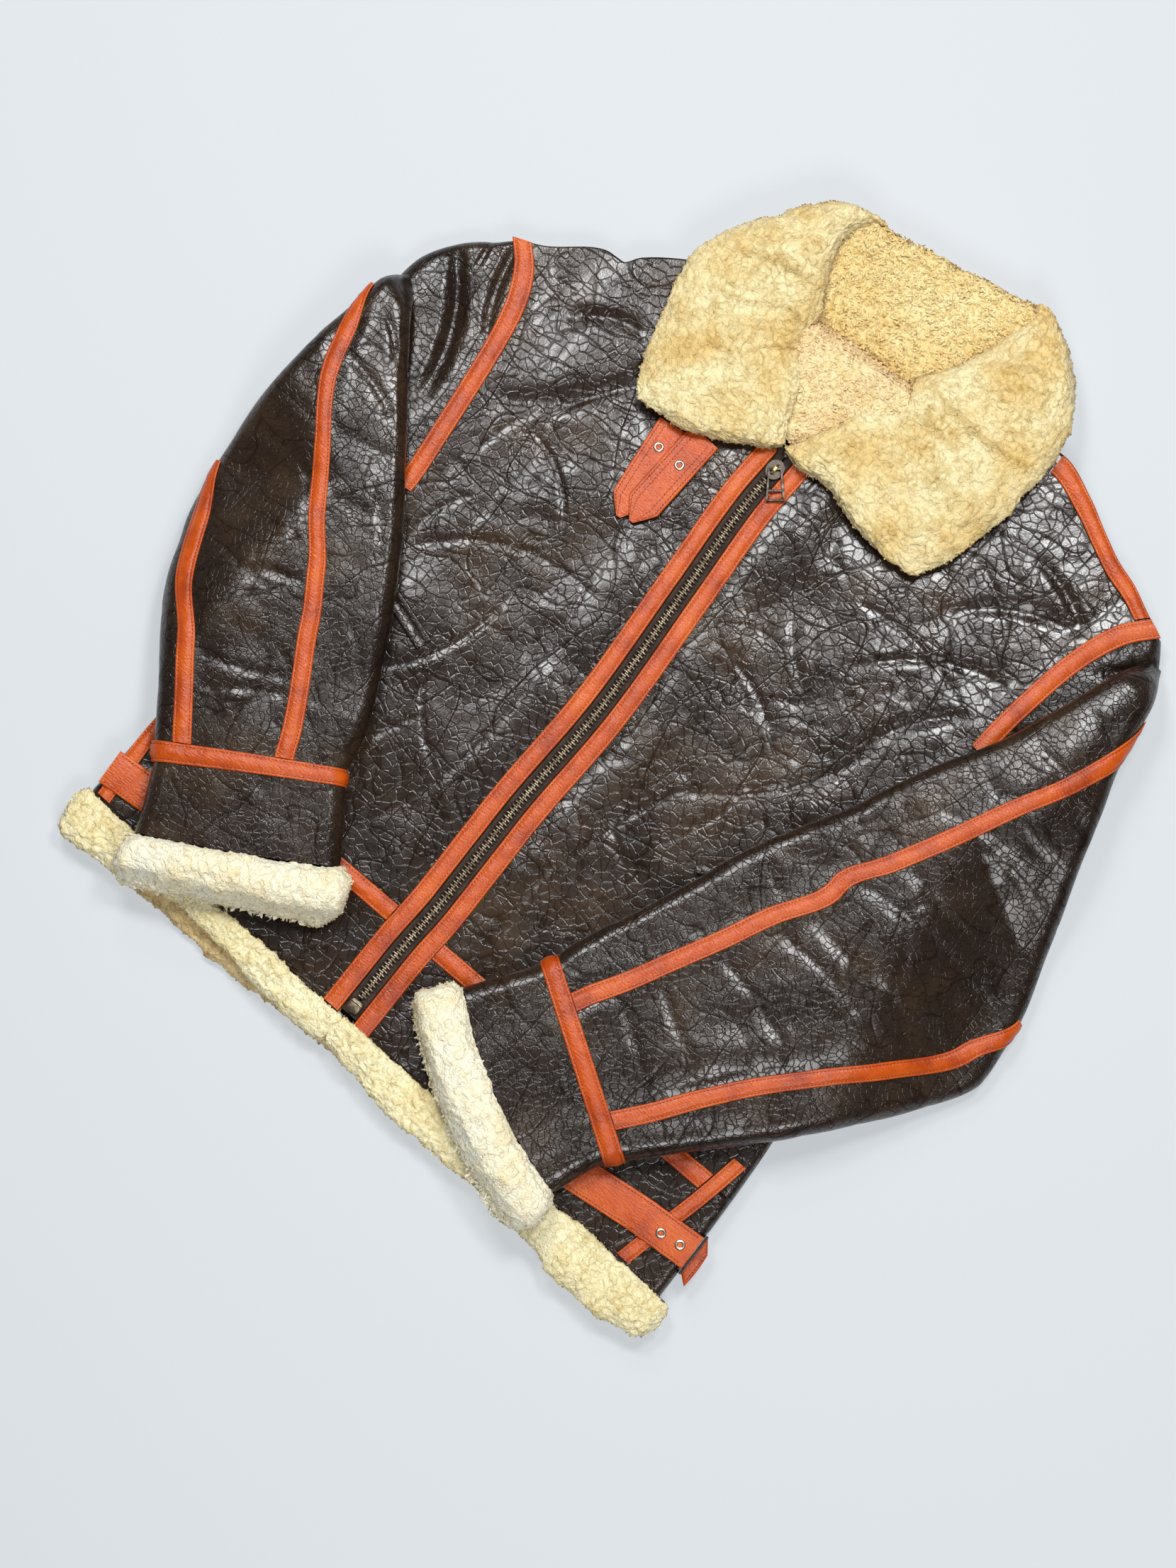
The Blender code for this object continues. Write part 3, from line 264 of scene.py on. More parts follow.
def cracks_of(tree, vector, size, width):
    """Fine valleys round cells of a size, from 0 in the valley to 1 on the cell."""
    sockets = {"Vector": vector, "Scale": 1000.0 / size}
    cells = node_of(tree, "ShaderNodeTexVoronoi", sockets, feature="DISTANCE_TO_EDGE")
    return ramp_of(tree, cells.outputs["Distance"], [(0.0, grey(0.0)), (width, grey(1.0))])


def wrinkles_of(tree, vector, size, width, detail=2.0):
    """Long wandering wrinkles, from 0 at their bottom to 1 between them."""
    noise = noise_of(tree, vector, size, detail, 0.4)
    away = sum_of(tree, sum_of(tree, noise, 0.5, "SUBTRACT"), 0.0, "ABSOLUTE")
    return ramp_of(tree, away, [(0.0, grey(0.0)), (width * 0.4, grey(0.6)), (width, grey(1.0))])


def brown_leather(name, cell, crack_depth, wrinkle_depth, low_rough, high_rough, coat):
    """Old, oiled sheepskin with its leather side out: crackled on the fronts, pebbled on the sleeves."""
    made, tree, shader = plain_surface(name, (0.030, 0.019, 0.0145), 0.3)
    vector = mapped(tree)
    large = cracks_of(tree, warped(tree, vector, 24, 10.0), cell, 0.09)
    small = cracks_of(tree, warped(tree, vector, 9, 2.0), cell * 0.4, 0.2)
    long_lines = wrinkles_of(tree, mapped(tree, (1.0, 0.4, 1.0), 0.5), 38, 0.02, 0.6)
    short_lines = wrinkles_of(tree, mapped(tree, (0.4, 1.0, 1.0), -0.35), 26, 0.03, 0.6)
    grain = noise_of(tree, vector, 1.6, 3.0)
    short_depth = wrinkle_depth * 0.6
    lines = sum_of(tree, scaled(tree, long_lines, wrinkle_depth), scaled(tree, short_lines, short_depth))
    nets = sum_of(tree, scaled(tree, large, crack_depth), scaled(tree, small, crack_depth * 0.22))
    height = sum_of(tree, lines, nets)
    height = sum_of(tree, height, scaled(tree, grain, 0.05))
    slack = noise_of(tree, vector, 19, 1.5)
    height = sum_of(tree, height, scaled(tree, slack, 1.1))
    bumped(tree, shader, height, 1.0)
    cloud = noise_of(tree, vector, 70, 4.0)
    shade = ramp_of(tree, cloud, [
        (0.32, (0.0145, 0.0079, 0.0048)), (0.52, (0.0240, 0.0132, 0.0078)), (0.70, (0.048, 0.0268, 0.0132)),
    ])
    valleys = scaled(tree, scaled(tree, large, short_lines), long_lines)
    # Painted shade, partly the real dark of the cracked finish: the colour darkens in the crack lines and at
    # the bottoms of the creases.
    dark = ramp_of(tree, valleys, [(0.0, grey(0.55)), (0.7, grey(1.0))])
    sockets = {"Fac": 0.85, "Color1": shade, "Color2": dark}
    valley_shaded = node_of(tree, "ShaderNodeMixRGB", sockets, blend_type="MULTIPLY")
    patches = noise_of(tree, vector, 30, 5.0, 0.65)
    polish = ramp_of(tree, patches, [(0.36, grey(low_rough)), (0.62, grey(high_rough))])
    shine = ramp_of(tree, valleys, [(0.1, grey(0.17)), (0.9, grey(0.54))])
    fed(tree, shader, {
        "Base Color": valley_shaded.outputs["Color"], "Roughness": polish, "Specular IOR Level": shine,
        "Coat Weight": scaled(tree, shine, 2 * coat), "Coat Roughness": 0.16,
    })
    return made


crackled_leather = brown_leather(
    "crackled_brown_leather", cell=8.5, crack_depth=0.16, wrinkle_depth=0.32,
    low_rough=0.20, high_rough=0.27, coat=0.14,
)
pebbled_leather = brown_leather(
    "pebbled_brown_leather", cell=5.5, crack_depth=0.14, wrinkle_depth=0.26,
    low_rough=0.22, high_rough=0.30, coat=0.12,
)


def skirt(line, low, rows):
    """The edge of a panel, from a line of points straight down to a height."""
    foot = line.copy()
    foot[:, 2] = low
    steps = np.linspace(0, 1, rows)[:, None, None]
    return line[None] * (1 - steps) + foot[None] * steps


def rims_of(top, low, rows):
    """The four edges of a panel, from its top face down to a height."""
    return [skirt(line, low, rows) for line in (top[:, 0], top[:, -1], top[0], top[-1])]


def rolled(away, width):
    """How far an edge has sunk at a distance from it, from 1 at the edge to 0 past a width."""
    return 1 - np.sqrt(np.clip(1 - (1 - np.clip(away / width, 0, 1)) ** 2, 0, 1))


def slab(name, heights, node):
    """A panel of the back, flat on both faces."""
    height = np.array(heights)[:, None]
    sides = flow(BODY_SIDES, height)
    part = np.linspace(0, 1, 61)[None, :]
    x = sides.right + (sides.left - sides.right) * part
    y = body_y(height, x)
    top = stack(x, y, BACK_TOP)
    faces = [top, stack(x, y, 0.0)] + rims_of(top, 0.0, 7)
    return cloth(name, faces, crackled_leather, node, weld=True)


back = slab("back_leather", np.linspace(PANEL_LOW, NECK_HEIGHT, 60), "back_panel")
back_band = slab("back_band_leather", np.linspace(HEM_HEIGHT, BAND_HIGH, 12), "back_hem_band")

# Turned-out fleece along the hem
# The skins are cut long at the hem and turned out, so that the pale wool on their inner side shows as a
# fat rolled edge. Each roll is one strip of fleece, thicker where nothing lies on it.

Hem = namedtuple("Hem", "x outer top")
RIGHT_HEM_FUR = table_of(Hem, [
    (-291, -22, 24.0), (-284, -29, 27.0), (-262, -34, 27.8), (-236, -33, 27.8),
    (-190, -22, 26.5), (-140, -24, 26.0), (-100, -30, 28.0), (-70, -35, 29.5),
    (-38, -37, 30.0), (-12, -38, 29.0), (2, -30, 27.0),
])
LEFT_HEM_FUR = table_of(Hem, [
    (-8, -34, 29.0), (25, -43, 30.0), (65, -49, 28.3), (115, -53, 27.0),
    (170, -57, 27.0), (225, -64, 28.0), (255, -72, 30.5), (290, -77, 31.0),
    (325, -74, 30.5), (345, -70, 28.0), (356, -58, 24.0),
])
BACK_HEM_FUR = table_of(Hem, [
    (-285, -24, 11.0), (-240, -32, 12.0), (-186, -33, 12.4), (-137, -38, 12.4),
    (-74, -40, 12.4), (0, -38, 12.4), (100, -48, 12.4), (200, -58, 12.4),
    (300, -68, 12.4), (346, -62, 11.0),
])
Lip = namedtuple("Lip", "turn part high")
HEM_ROLL = table_of(Lip, [
    (0.00, 0.0, 0.30), (0.04, 0.0, 0.70), (0.12, 0.10, 0.93), (0.26, 0.35, 1.0),
    (0.42, 0.68, 0.96), (0.55, 0.90, 0.80), (0.63, 1.0, 0.50), (0.70, 0.93, 0.16),
    (0.80, 0.70, 0.02), (1.00, 0.05, 0.0),
])


def curls(points, size, seed):
    """Height of tight curls that wander like worms, from 0 in the crevices between them to 1."""
    pushed = points + stack(*(waver(points, size * 1.4, seed + k) for k in (1, 2, 3))) * size * 0.5
    return np.clip(np.abs(waver(pushed, size, seed)) * 3.0, 0, 1) ** 0.55


def linear(red, green, blue):
    """A colour read off the real thing, as light values."""
    return tuple((value / 255) ** 2.2 for value in (red, green, blue))


def wool(name, *shades):
    """Wool in three shades from its crevices, darkened as painted shade, to its tips, then the three of its
    golden patches.
    """
    shades = [linear(*shade) for shade in shades]
    made, tree, shader = plain_surface(name, shades[1], 0.92)
    # Painted shade: the pile attribute darkens the wool where the pile is low, in hollows and at lock roots.
    depth = node_of(tree, "ShaderNodeAttribute", {}, attribute_name="pile_shade")
    vector = mapped(tree)
    cloud = noise_of(tree, vector, 52, 3.0)
    fine = noise_of(tree, vector, 1.5, 4.0, 0.7)
    curl = wrinkles_of(tree, warped(tree, vector, 6, 5.0), 8, 0.13)
    small_curl = wrinkles_of(tree, warped(tree, vector, 3, 2.4), 3.6, 0.15)
    relief = sum_of(tree, scaled(tree, curl, 0.55), scaled(tree, small_curl, 0.3))
    relief = sum_of(tree, relief, scaled(tree, fine, 0.35))
    # Painted shade: the curl relief darkens the colour in its crevices as well as bumping them.
    level = sum_of(tree, scaled(tree, depth.outputs["Fac"], 0.72), scaled(tree, relief, 0.34))
    pale = ramp_of(tree, level, list(zip((0.12, 0.48, 0.90), shades[:3])))
    deep = ramp_of(tree, level, list(zip((0.12, 0.48, 0.90), shades[3:])))
    share = ramp_of(tree, cloud, [(0.38, grey(0.0)), (0.64, grey(1.0))])
    mixed = node_of(tree, "ShaderNodeMixRGB", {"Fac": share, "Color1": pale, "Color2": deep})
    bumped(tree, shader, relief, 1.3)
    fed(tree, shader, {
        "Base Color": mixed.outputs["Color"], "Sheen Weight": 0.25, "Sheen Roughness": 0.6,
        "Specular IOR Level": 0.2,
    })
    return made


hem_wool = wool(
    "hem_wool", (180, 152, 92), (240, 224, 168), (254, 246, 206),
    (164, 132, 72), (230, 208, 144), (250, 236, 184),
)
cuff_wool = wool(
    "cuff_wool", (190, 164, 112), (252, 240, 200), (255, 251, 228),
    (174, 144, 92), (246, 228, 180), (253, 244, 208),
)
shadow_wool = wool(
    "shadowed_wool", (128, 100, 58), (208, 178, 122), (236, 214, 162),
    (112, 86, 50), (190, 156, 102), (224, 198, 144),
)


def normals_of(grid, outward):
    along = np.gradient(grid, axis=0)
    across = np.gradient(grid, axis=1)
    return unit(np.cross(along, across)) * outward


def fleece(
    name, grid, outward, surface, node, seed, tuft=7.0, rise=3.4, lock=4.2, gap=2.7, hollow_shade=1.0, sunk=0.0,
):
    """Clumped wool over a grid of points: a lumpy ground with thousands of short curled locks on it."""
    normal = normals_of(grid, outward)
    clump = curls(grid, tuft, seed)
    curl = curls(grid, tuft * 0.55, seed + 5)
    lump = waver(grid, 19, seed + 9) + 0.6 * waver(grid, 11, seed + 13)
    raise_by = rise * (0.55 * clump + 0.5 * curl + 0.55 * lump - 0.7) - sunk
    ground = grid + normal * raise_by[..., None]
    ground[..., 2] = np.maximum(ground[..., 2], 0.3)
    # Painted shade: the wool material darkens its colour by this value, where the pile is low and where the
    # shade factor passed in dims a hollow.
    pile_shade = np.clip(0.1 + 0.45 * clump + 0.35 * curl + 0.14 * lump, 0, 1) * hollow_shade
    rows, columns = ground.shape[:2]
    along_step = np.linalg.norm(np.gradient(grid, axis=0), axis=-1)
    across_step = np.linalg.norm(np.gradient(grid, axis=1), axis=-1)
    chance = along_step * across_step / (gap * gap)
    facing = normal[..., 2] > -0.25
    corner = stack(np.arange(rows)[:, None], np.arange(columns)[None, :], seed).astype(np.int64)
    dice = random_at(corner, 11)
    picked = (dice < chance) & facing
    root = ground[picked] - normal[picked] * 0.8
    up = normal[picked]
    count = len(root)
    dice = np.random.default_rng(seed)
    swirl = stack(*(waver(root, 14, seed + 20 + k) for k in range(3)))
    side = swirl + 0.55 * dice.normal(size=(count, 3))
    side = unit(side - up * (side * up).sum(-1, keepdims=True), 1e-6)
    width_way = np.cross(up, side)
    length = lock * (0.65 + 0.7 * dice.random((count, 1)))
    wide = 0.75 + 0.5 * dice.random((count, 1))
    tall = 0.35 + 0.45 * dice.random((count, 1))
    first = root + up * length * tall * 0.6 + side * length * 0.22
    second = root + up * length * tall * 0.9 + side * length * 0.62
    curl_over = width_way * (dice.random((count, 1)) - 0.5) * length * 0.5
    tip = root + up * length * tall * 0.72 + side * length * 0.98 + curl_over
    blades = []
    for spot, half in ((root, 0.8), (first, 1.0), (second, 0.75), (tip, 0.12)):
        blades.append(np.stack([spot - width_way * wide * half, spot + width_way * wide * half], 1))
    blades = np.stack(blades, 1)
    blades[..., 2] = np.maximum(blades[..., 2], 0.3)
    made = cloth(name, [ground, blades], surface, node)
    # Painted shade: each lock is darker at its root than at its tip.
    shade = np.array([0.25, 0.62, 0.85, 1.0])[None, :, None] * np.ones((count, 1, 2))
    shade = shade * (0.6 + 0.4 * pile_shade[picked])[:, None, None] + 0.12 * dice.normal(size=(count, 1, 1))
    values = np.clip(np.concatenate([pile_shade.ravel(), shade.ravel()]), 0, 1)
    layer = made.data.attributes.new("pile_shade", "FLOAT", "POINT")
    layer.data.foreach_set("value", values.astype(np.float32))
    return made


def backing(name, grid):
    """The thin skin under a fleece, as a folded sheet that carries it."""
    made = cloth(name, [grid], crackled_leather, "")


def hem_roll(name, table, under, surface, node, seed, step=1.35, gap=2.7):
    x = np.arange(table[0].x, table[-1].x + 0.1, step)[:, None]
    hem = flow(table, x)
    lip = flow(HEM_ROLL, np.concatenate([np.linspace(0, 0.70, 42), np.linspace(0.74, 1, 8)])[None, :])
    end = np.minimum(x - table[0].x, table[-1].x - x)
    shrink = 0.45 + 0.55 * np.sqrt(ease(end / 8.0))
    start = body_y(HEM_HEIGHT, x) - 0.3
    ripple = waver(stack(x, 0 * x, 0 * x), 17, seed) * 2.0 * ease(end / 25)
    outer = hem.outer + ripple
    middle = (start + outer) / 2
    y = middle + (start + (outer - start) * lip.part - middle) * shrink
    thick = (hem.top - under) * (1 + 0.06 * waver(stack(x, 0 * x, 0 * x + 9), 23, seed + 1))
    centre = under + thick * 0.45
    z = centre + (under + thick * lip.high - centre) * shrink
    grid = stack(x, y, z)
    made = fleece(name, grid, 1.0, surface, node, seed, gap=gap)
    strip = np.linspace(table[0].x + 6, table[-1].x - 6, 40)[:, None]
    strip_start = body_y(HEM_HEIGHT, strip) - 0.4
    across = np.linspace(0, 0.82, 6)[None, :]
    outer = flow(table, strip).outer
    skin = stack(strip, strip_start + (outer - strip_start) * across, under + 0.5)
    backing(name + "_skin", skin)


hem_roll(
    "back_hem_fleece", BACK_HEM_FUR, 0.0, shadow_wool, "back_hem_fur", 3,
    step=2.1, gap=3.6,
)
for side_name, table, seed, flat in (
    ("right", RIGHT_HEM_FUR, 4, (0.275, 0.020)), ("left", LEFT_HEM_FUR, 5, (0.35, 0.031)),
):
    hem_roll(
        "hem_fleece_" + side_name, table, FRONT_UNDER, hem_wool, "hem_fur_" + side_name, seed,
    )

# Fronts and front bands
# Each front is one skin from the waist to the shoulder with a separate band below it, leather side out.
# The old finish has broken into glossy islands, and the skins have set into long soft creases.

Place = namedtuple("Place", "height x")
ZIP_LINE = table_of(Place, [
    (-10, 0), (60, 1), (115, 4), (200, 4), (320, 9), (440, 4),
    (530, 0), (570, 2), (600, 3), (690, 3),
])
NECK_OPENING = table_of(Place, [
    (-10, 0.5), (575, 0.5), (590, 16), (605, 28), (625, 42), (645, 56),
    (665, 76), (690, 96),
])
Crease = namedtuple("Crease", "x0 y0 x1 y1 bend width depth")
FRONT_CREASES = table_of(Crease, [
    (-160, 232, -108, 350, -14, 2.4, 1.5), (-200, 330, -60, 392, 20, 3.0, 1.1),
    (-175, 470, -100, 405, 12, 2.6, 1.2), (-120, 560, -175, 470, -12, 3.0, 1.3),
    (-60, 190, -140, 300, 16, 2.4, 0.9), (-90, 120, -50, 300, -14, 2.2, 0.8),
    (-215, 560, -150, 590, 10, 6.0, 2.6), (-225, 470, -120, 610, -22, 9.0, 2.8),
    (-205, 425, -165, 510, 8, 2.4, 1.0), (-40, 330, -62, 430, 10, 2.2, 0.7),
    (-130, 150, -100, 230, 8, 2.2, 0.8), (-185, 395, -205, 335, -6, 2.4, 1.2),
    (60, 130, 120, 330, 18, 3.0, 1.0), (95, 300, 215, 440, -18, 4.0, 1.5),
    (150, 470, 262, 540, 14, 4.0, 1.5), (60, 420, 150, 372, 10, 2.6, 1.0),
    (70, 520, 140, 430, -12, 3.0, 1.0), (190, 560, 285, 610, 12, 6.0, 2.4),
    (120, 520, 250, 500, 12, 2.6, 1.1), (215, 640, 300, 600, 10, 5.0, 2.0),
    (50, 250, 110, 220, 8, 2.2, 0.8), (110, 250, 150, 360, -8, 2.4, 0.9),
    (200, 420, 255, 500, 10, 6.0, 2.4), (170, 610, 240, 570, 8, 2.6, 1.0),
])


def creased(x, y, table):
    """Depth of soft troughs, each along a bent line and fading at its ends."""
    shape = np.broadcast(x, y).shape
    x, y = np.broadcast_to(x, shape), np.broadcast_to(y, shape)
    depth = np.zeros(shape)
    for fold in table:
        steps = np.linspace(0, 1, 9)
        run = np.array([fold.x1 - fold.x0, fold.y1 - fold.y0])
        side = np.array([-run[1], run[0]]) / np.hypot(*run)
        line = np.array([fold.x0, fold.y0]) + run * steps[:, None]
        line = line + side * (fold.bend * 4 * steps * (1 - steps))[:, None]
        reach = 4 * fold.width
        near = (
            (x > line[:, 0].min() - reach) & (x < line[:, 0].max() + reach)
            & (y > line[:, 1].min() - reach) & (y < line[:, 1].max() + reach)
        )
        if not near.any():
            continue
        px, py = x[near], y[near]
        best = np.full(px.shape, 1e9)
        place = np.zeros(px.shape)
        for k in range(8):
            ax, ay = line[k]
            bx, by = line[k + 1] - line[k]
            t = np.clip(((px - ax) * bx + (py - ay) * by) / (bx * bx + by * by), 0, 1)
            away = np.hypot(px - ax - t * bx, py - ay - t * by)
            closer = away < best
            best = np.where(closer, away, best)
            place = np.where(closer, (k + t) / 8, place)
        fading = np.sin(np.pi * np.clip(place, 0.02, 0.98)) ** 0.6
        depth[near] += fold.depth * fading * np.exp(-((best / fold.width) ** 2))
    return depth


def crumpled(place, size, seed):
    """A net of shallow creases that wander at random, 1 at the bottom of each."""
    pushed = place + stack(*(waver(place, size * 0.4, seed + k) for k in (20, 21, 22))) * size * 0.12
    return np.exp(-((waver(pushed, size, seed) / 0.11) ** 2))


def side_edge(sign, height):
    edges = flow(BODY_SIDES, height)
    return edges.left if sign > 0 else edges.right


def zip_edge(sign, height, offset):
    return flow(ZIP_LINE, height).x + sign * (flow(NECK_OPENING, height).x + offset)


def front_level(sign, height, x):
    """Height of the leather, with its creases fading out where the armhole is taped."""
    y = body_y(height, x)
    inset = np.abs(side_edge(sign, height) - x)
    calm = ease((inset - 8) / 18) * ease((np.abs(x - flow(ZIP_LINE, height).x) - 20) / 16)
    place = stack(x, y, 0 * x)
    swell = 2.2 * waver(place, 70, 17) + 1.0 * waver(place, 33, 8)
    from_zip = np.abs(x - flow(ZIP_LINE, height).x)
    swell = 0.75 * swell + (2.6 + 0.4 * sign) * np.exp(-(((from_zip - 46) / 21) ** 2)) - 0.7
    crumple = 0.4 * crumpled(place, 58, 12) + 0.25 * crumpled(place, 27, 13)
    return FRONT_TOP - 0.9 + (swell - crumple - creased(x, y, FRONT_CREASES)) * calm


LEATHER_FROM_ZIP, HEADS_LOW = 7.9, 340


def front_leather(name, sign, heights, seam, node):
    """A front panel from the zip trim to the side, sunk at its waist seam and turned down to the back."""
    height = np.asarray(heights)[:, None]
    inner = zip_edge(sign, height, LEATHER_FROM_ZIP)
    outer = side_edge(sign, height) - sign * SEAM_GAP
    count = int(abs(np.mean(outer - inner)) / 2.2)
    x = inner + (outer - inner) * np.linspace(0, 1, count)[None, :]
    y = body_y(height, x)
    z = front_level(sign, height, x)
    # Below the sleeve heads, the side of the front rolls well down to the back.
    fall = 7.0 * (1 - ease((height - HEADS_LOW) / 40))
    z = z - rolled(np.abs(outer - x), 8) * (fall + 0.6)
    z = z - 0.9 * np.exp(-(((height - seam) / 3.5) ** 2))
    top = stack(x, y, z)
    faces = [top] + rims_of(top, FRONT_UNDER, 4)
    made = cloth(name, faces, crackled_leather, node, weld=True)


front_heights = np.linspace(PANEL_LOW, NECK_HEIGHT, 275)
band_heights = np.linspace(HEM_HEIGHT, BAND_HIGH, 42)
for name, sign, heights, seam, node, flat in (
    ("front_leather_right", -1, front_heights, PANEL_LOW, "front_right", (0.29, 0.62, 0.150)),
    ("front_leather_left", 1, front_heights, PANEL_LOW, "front_left", (0.33, 0.66, 0.180)),
    ("band_leather_right", -1, band_heights, BAND_HIGH, "hem_band_right", (0.285, 0.11, 0.0280)),
    ("band_leather_left", 1, band_heights, BAND_HIGH, "hem_band_left", (0.34, 0.11, 0.0340)),
):
    front_leather(name, sign, heights, seam, node)

# Sleeve heads
# The tops of the sleeves are gathered a little into the armholes and crushed where the arms are folded
# down, so they hold deep short pleats that run from the armhole into the fold.

RIGHT_HEAD_REACH = table_of(Place, [
    (380, -300), (400, -345), (420, -362), (460, -362), (503, -355),
    (550, -350), (590, -346), (635, -330), (665, -312), (690, -291),
])
LEFT_HEAD_REACH = table_of(Place, [
    (460, 300), (475, 350), (493, 386), (541, 378), (583, 370),
    (622, 366), (656, 359), (672, 353), (690, 343),
])
HEAD_CREASES = table_of(Crease, [
    (-330, 560, -268, 430, 14, 7, 6.5), (-285, 600, -252, 500, -8, 5, 3.6),
    (-345, 500, -290, 415, 8, 6, 4.5), (-318, 610, -300, 540, 5, 3, 2.0),
    (358, 612, 296, 512, 8, 6, 6.0), (352, 646, 318, 596, 6, 5, 3.6),
    (368, 585, 318, 512, 6, 4, 2.8),
])


def head_leather(name, sign, reach_table, low, node):
    height = np.linspace(low, NECK_HEIGHT, 130)[:, None]
    side = side_edge(sign, height) + sign * SEAM_GAP
    reach = flow(reach_table, height).x
    part = np.linspace(0, 1, 56)[None, :]
    x = side + (reach - side) * part
    y = body_y(height, x)
    place = stack(x, y, 0 * x)
    calm = ease(np.abs(x - side) / 10)
    swell = 1.6 * waver(place, 44, 9) + 0.7 * waver(place, 19, 10)
    z = FRONT_TOP - 0.4 + (swell - creased(x, y, HEAD_CREASES)) * calm
    top = stack(x, y, z - rolled(np.abs(reach - x), 15) * 14)
    faces = [top] + rims_of(top, 0.4, 6)
    made = cloth(name, faces, pebbled_leather, node, weld=True)


for side_name, sign, table, low, flat in (
    ("right", -1, RIGHT_HEAD_REACH, 374, (0.13, 0.25, 0.0310)),
    ("left", 1, LEFT_HEAD_REACH, 464.7, (0.12, 0.22, 0.0220)),
):
    head_leather("sleeve_head_leather_" + side_name, sign, table, low, "sleeve_head_" + side_name)

# Taped seams of the body
# Strips of thin orange leather are sewn over the seams of the body: along the zip, round the waist, over
# the sides, armholes and shoulders. Two rows of stitches hold each one and leave it puffed between them.

STITCH_ROW, TAPE_ROWS = 5.6, 3
TRIM_FROM_ZIP, WAIST_TRIM_FROM_ZIP = 16.0, 24.4
FROM_SIDE_TRIM, FROM_ARMHOLE_TRIM = 7.6, 9.2
SHOULDER_TRIM_HEIGHT, SHOULDER_TRIM_START = 681.5, 184
ZIP_HIGH = 612
TAPE_SECTION = [
    (-8.0, 0.1), (-7.7, 0.9), (-6.6, 1.15), (-5.6, 0.75), (-4.6, 1.45), (-2.4, 2.0), (0.0, 2.15),
    (2.4, 2.0), (4.6, 1.45), (5.6, 0.75), (6.6, 1.15), (7.7, 0.9), (8.0, 0.1),
]


def orange_surface():
    made, tree, shader = plain_surface("orange_leather", linear(205, 85, 45), 0.42)
    vector = mapped(tree)
    cloud = noise_of(tree, vector, 30, 4.0)
    grain = noise_of(tree, vector, 2.2, 3.0)
    slant = noise_of(tree, mapped(tree, (1.0, 3.2, 1.0), 0.7), 5.0, 3.0)
    colour = ramp_of(tree, cloud, [
        (0.28, linear(158, 56, 9)), (0.5, linear(196, 80, 13)), (0.74, linear(214, 98, 22)),
    ])
    bumped(tree, shader, sum_of(tree, slant, scaled(tree, grain, 0.4)), 0.7)
    rough = ramp_of(tree, grain, [(0.3, grey(0.25)), (0.7, grey(0.38))])
    fed(tree, shader, {"Base Color": colour, "Roughness": rough, "Specular IOR Level": 0.48})
    return made


orange = orange_surface()
thread, _, _ = plain_surface("rust_thread", linear(128, 52, 26), 0.7)
stitch_places = []


def tape(name, node, on, width=1.0):
    """A strip of orange tape. on(across, out) gives the points of every row at an offset and a height."""
    across, out = np.array(TAPE_SECTION).T
    across = across * width
    base = on(across, out * 0)
    pucker = 1.0 + 0.22 * waver(base, 6.5, 31) + 0.12 * waver(base, 3.0, 32)
    grid = on(across, out * pucker + 0.3)
    made = cloth(name, [grid], orange, node)
    for offset in (-STITCH_ROW * width, STITCH_ROW * width):
        stitch_places.append(on(np.array([offset]), np.array([1.15]))[:, 0])


def resampled(line, gap):
    """Points a gap apart along a line, and the way that it runs at each."""
    steps = np.linalg.norm(np.diff(line, axis=0), axis=1)
    run = np.concatenate([[0], np.cumsum(steps)])
    marks = np.arange(gap / 2, run[-1], gap)
    spots, ahead, behind = (
        np.stack([np.interp(marks + shift, run, line[:, k]) for k in range(3)], -1)
        for shift in (0, 0.5, -0.5)
    )
    return spots, unit(ahead - behind)


def body_tape(name, sign, heights, centre, node, level=None, width=1.0):
    """A tape that runs up the body, its middle at a place for each height."""
    height = np.asarray(heights)[:, None]

    def on(across, out):
        x = centre(height) + across[None, :]
        z = front_level(sign, height, x) if level is None else level
        return stack(x, body_y(height, x), z + out)

    tape(name, node, on, width)


tape_heights = np.linspace(HEM_HEIGHT, ZIP_HIGH, 210)
for side_name, sign in (("right", -1), ("left", 1)):
    body_tape(
        "zip_tape_leather_" + side_name, sign, tape_heights,
        lambda height: zip_edge(sign, height, TRIM_FROM_ZIP), "zip_trim_" + side_name,
    )
SIDE_TRIMS = {
    "right": (-1, table_of(Place, [(-10, -269), (50, -271), (110, -268)])),
    "left": (1, table_of(Place, [(-10, 298), (28, 308), (60, 317), (90, 324), (110, 328)])),
}
for side_name, (sign, places) in SIDE_TRIMS.items():
    body_tape(
        "side_tape_leather_" + side_name, sign, np.linspace(-7, 108, 44),
        lambda height: flow(places, height).x, "side_trim_" + side_name,
        level=FRONT_TOP, width=0.82,
    )
for side_name, sign, low in (("right", -1, 374), ("left", 1, 487)):
    heights = np.linspace(low, NECK_HEIGHT, int((NECK_HEIGHT - low) / TAPE_ROWS))
    body_tape(
        "armhole_tape_leather_" + side_name, sign, heights, lambda height: side_edge(sign, height),
        "armhole_trim_" + side_name, level=FRONT_TOP,
    )


def cross_tape(name, sign, middle, start, end, node):
    """A tape that runs across the body at one height."""
    part = np.linspace(0, 1, int(abs(end(middle) - start(middle)) / TAPE_ROWS))[:, None]

    def on(across, out):
        height = middle + across[None, :]
        x = start(height) + (end(height) - start(height)) * part
        return stack(x, body_y(height, x), np.maximum(front_level(sign, height, x), FRONT_TOP - 0.3) + out)

    tape(name, node, on)


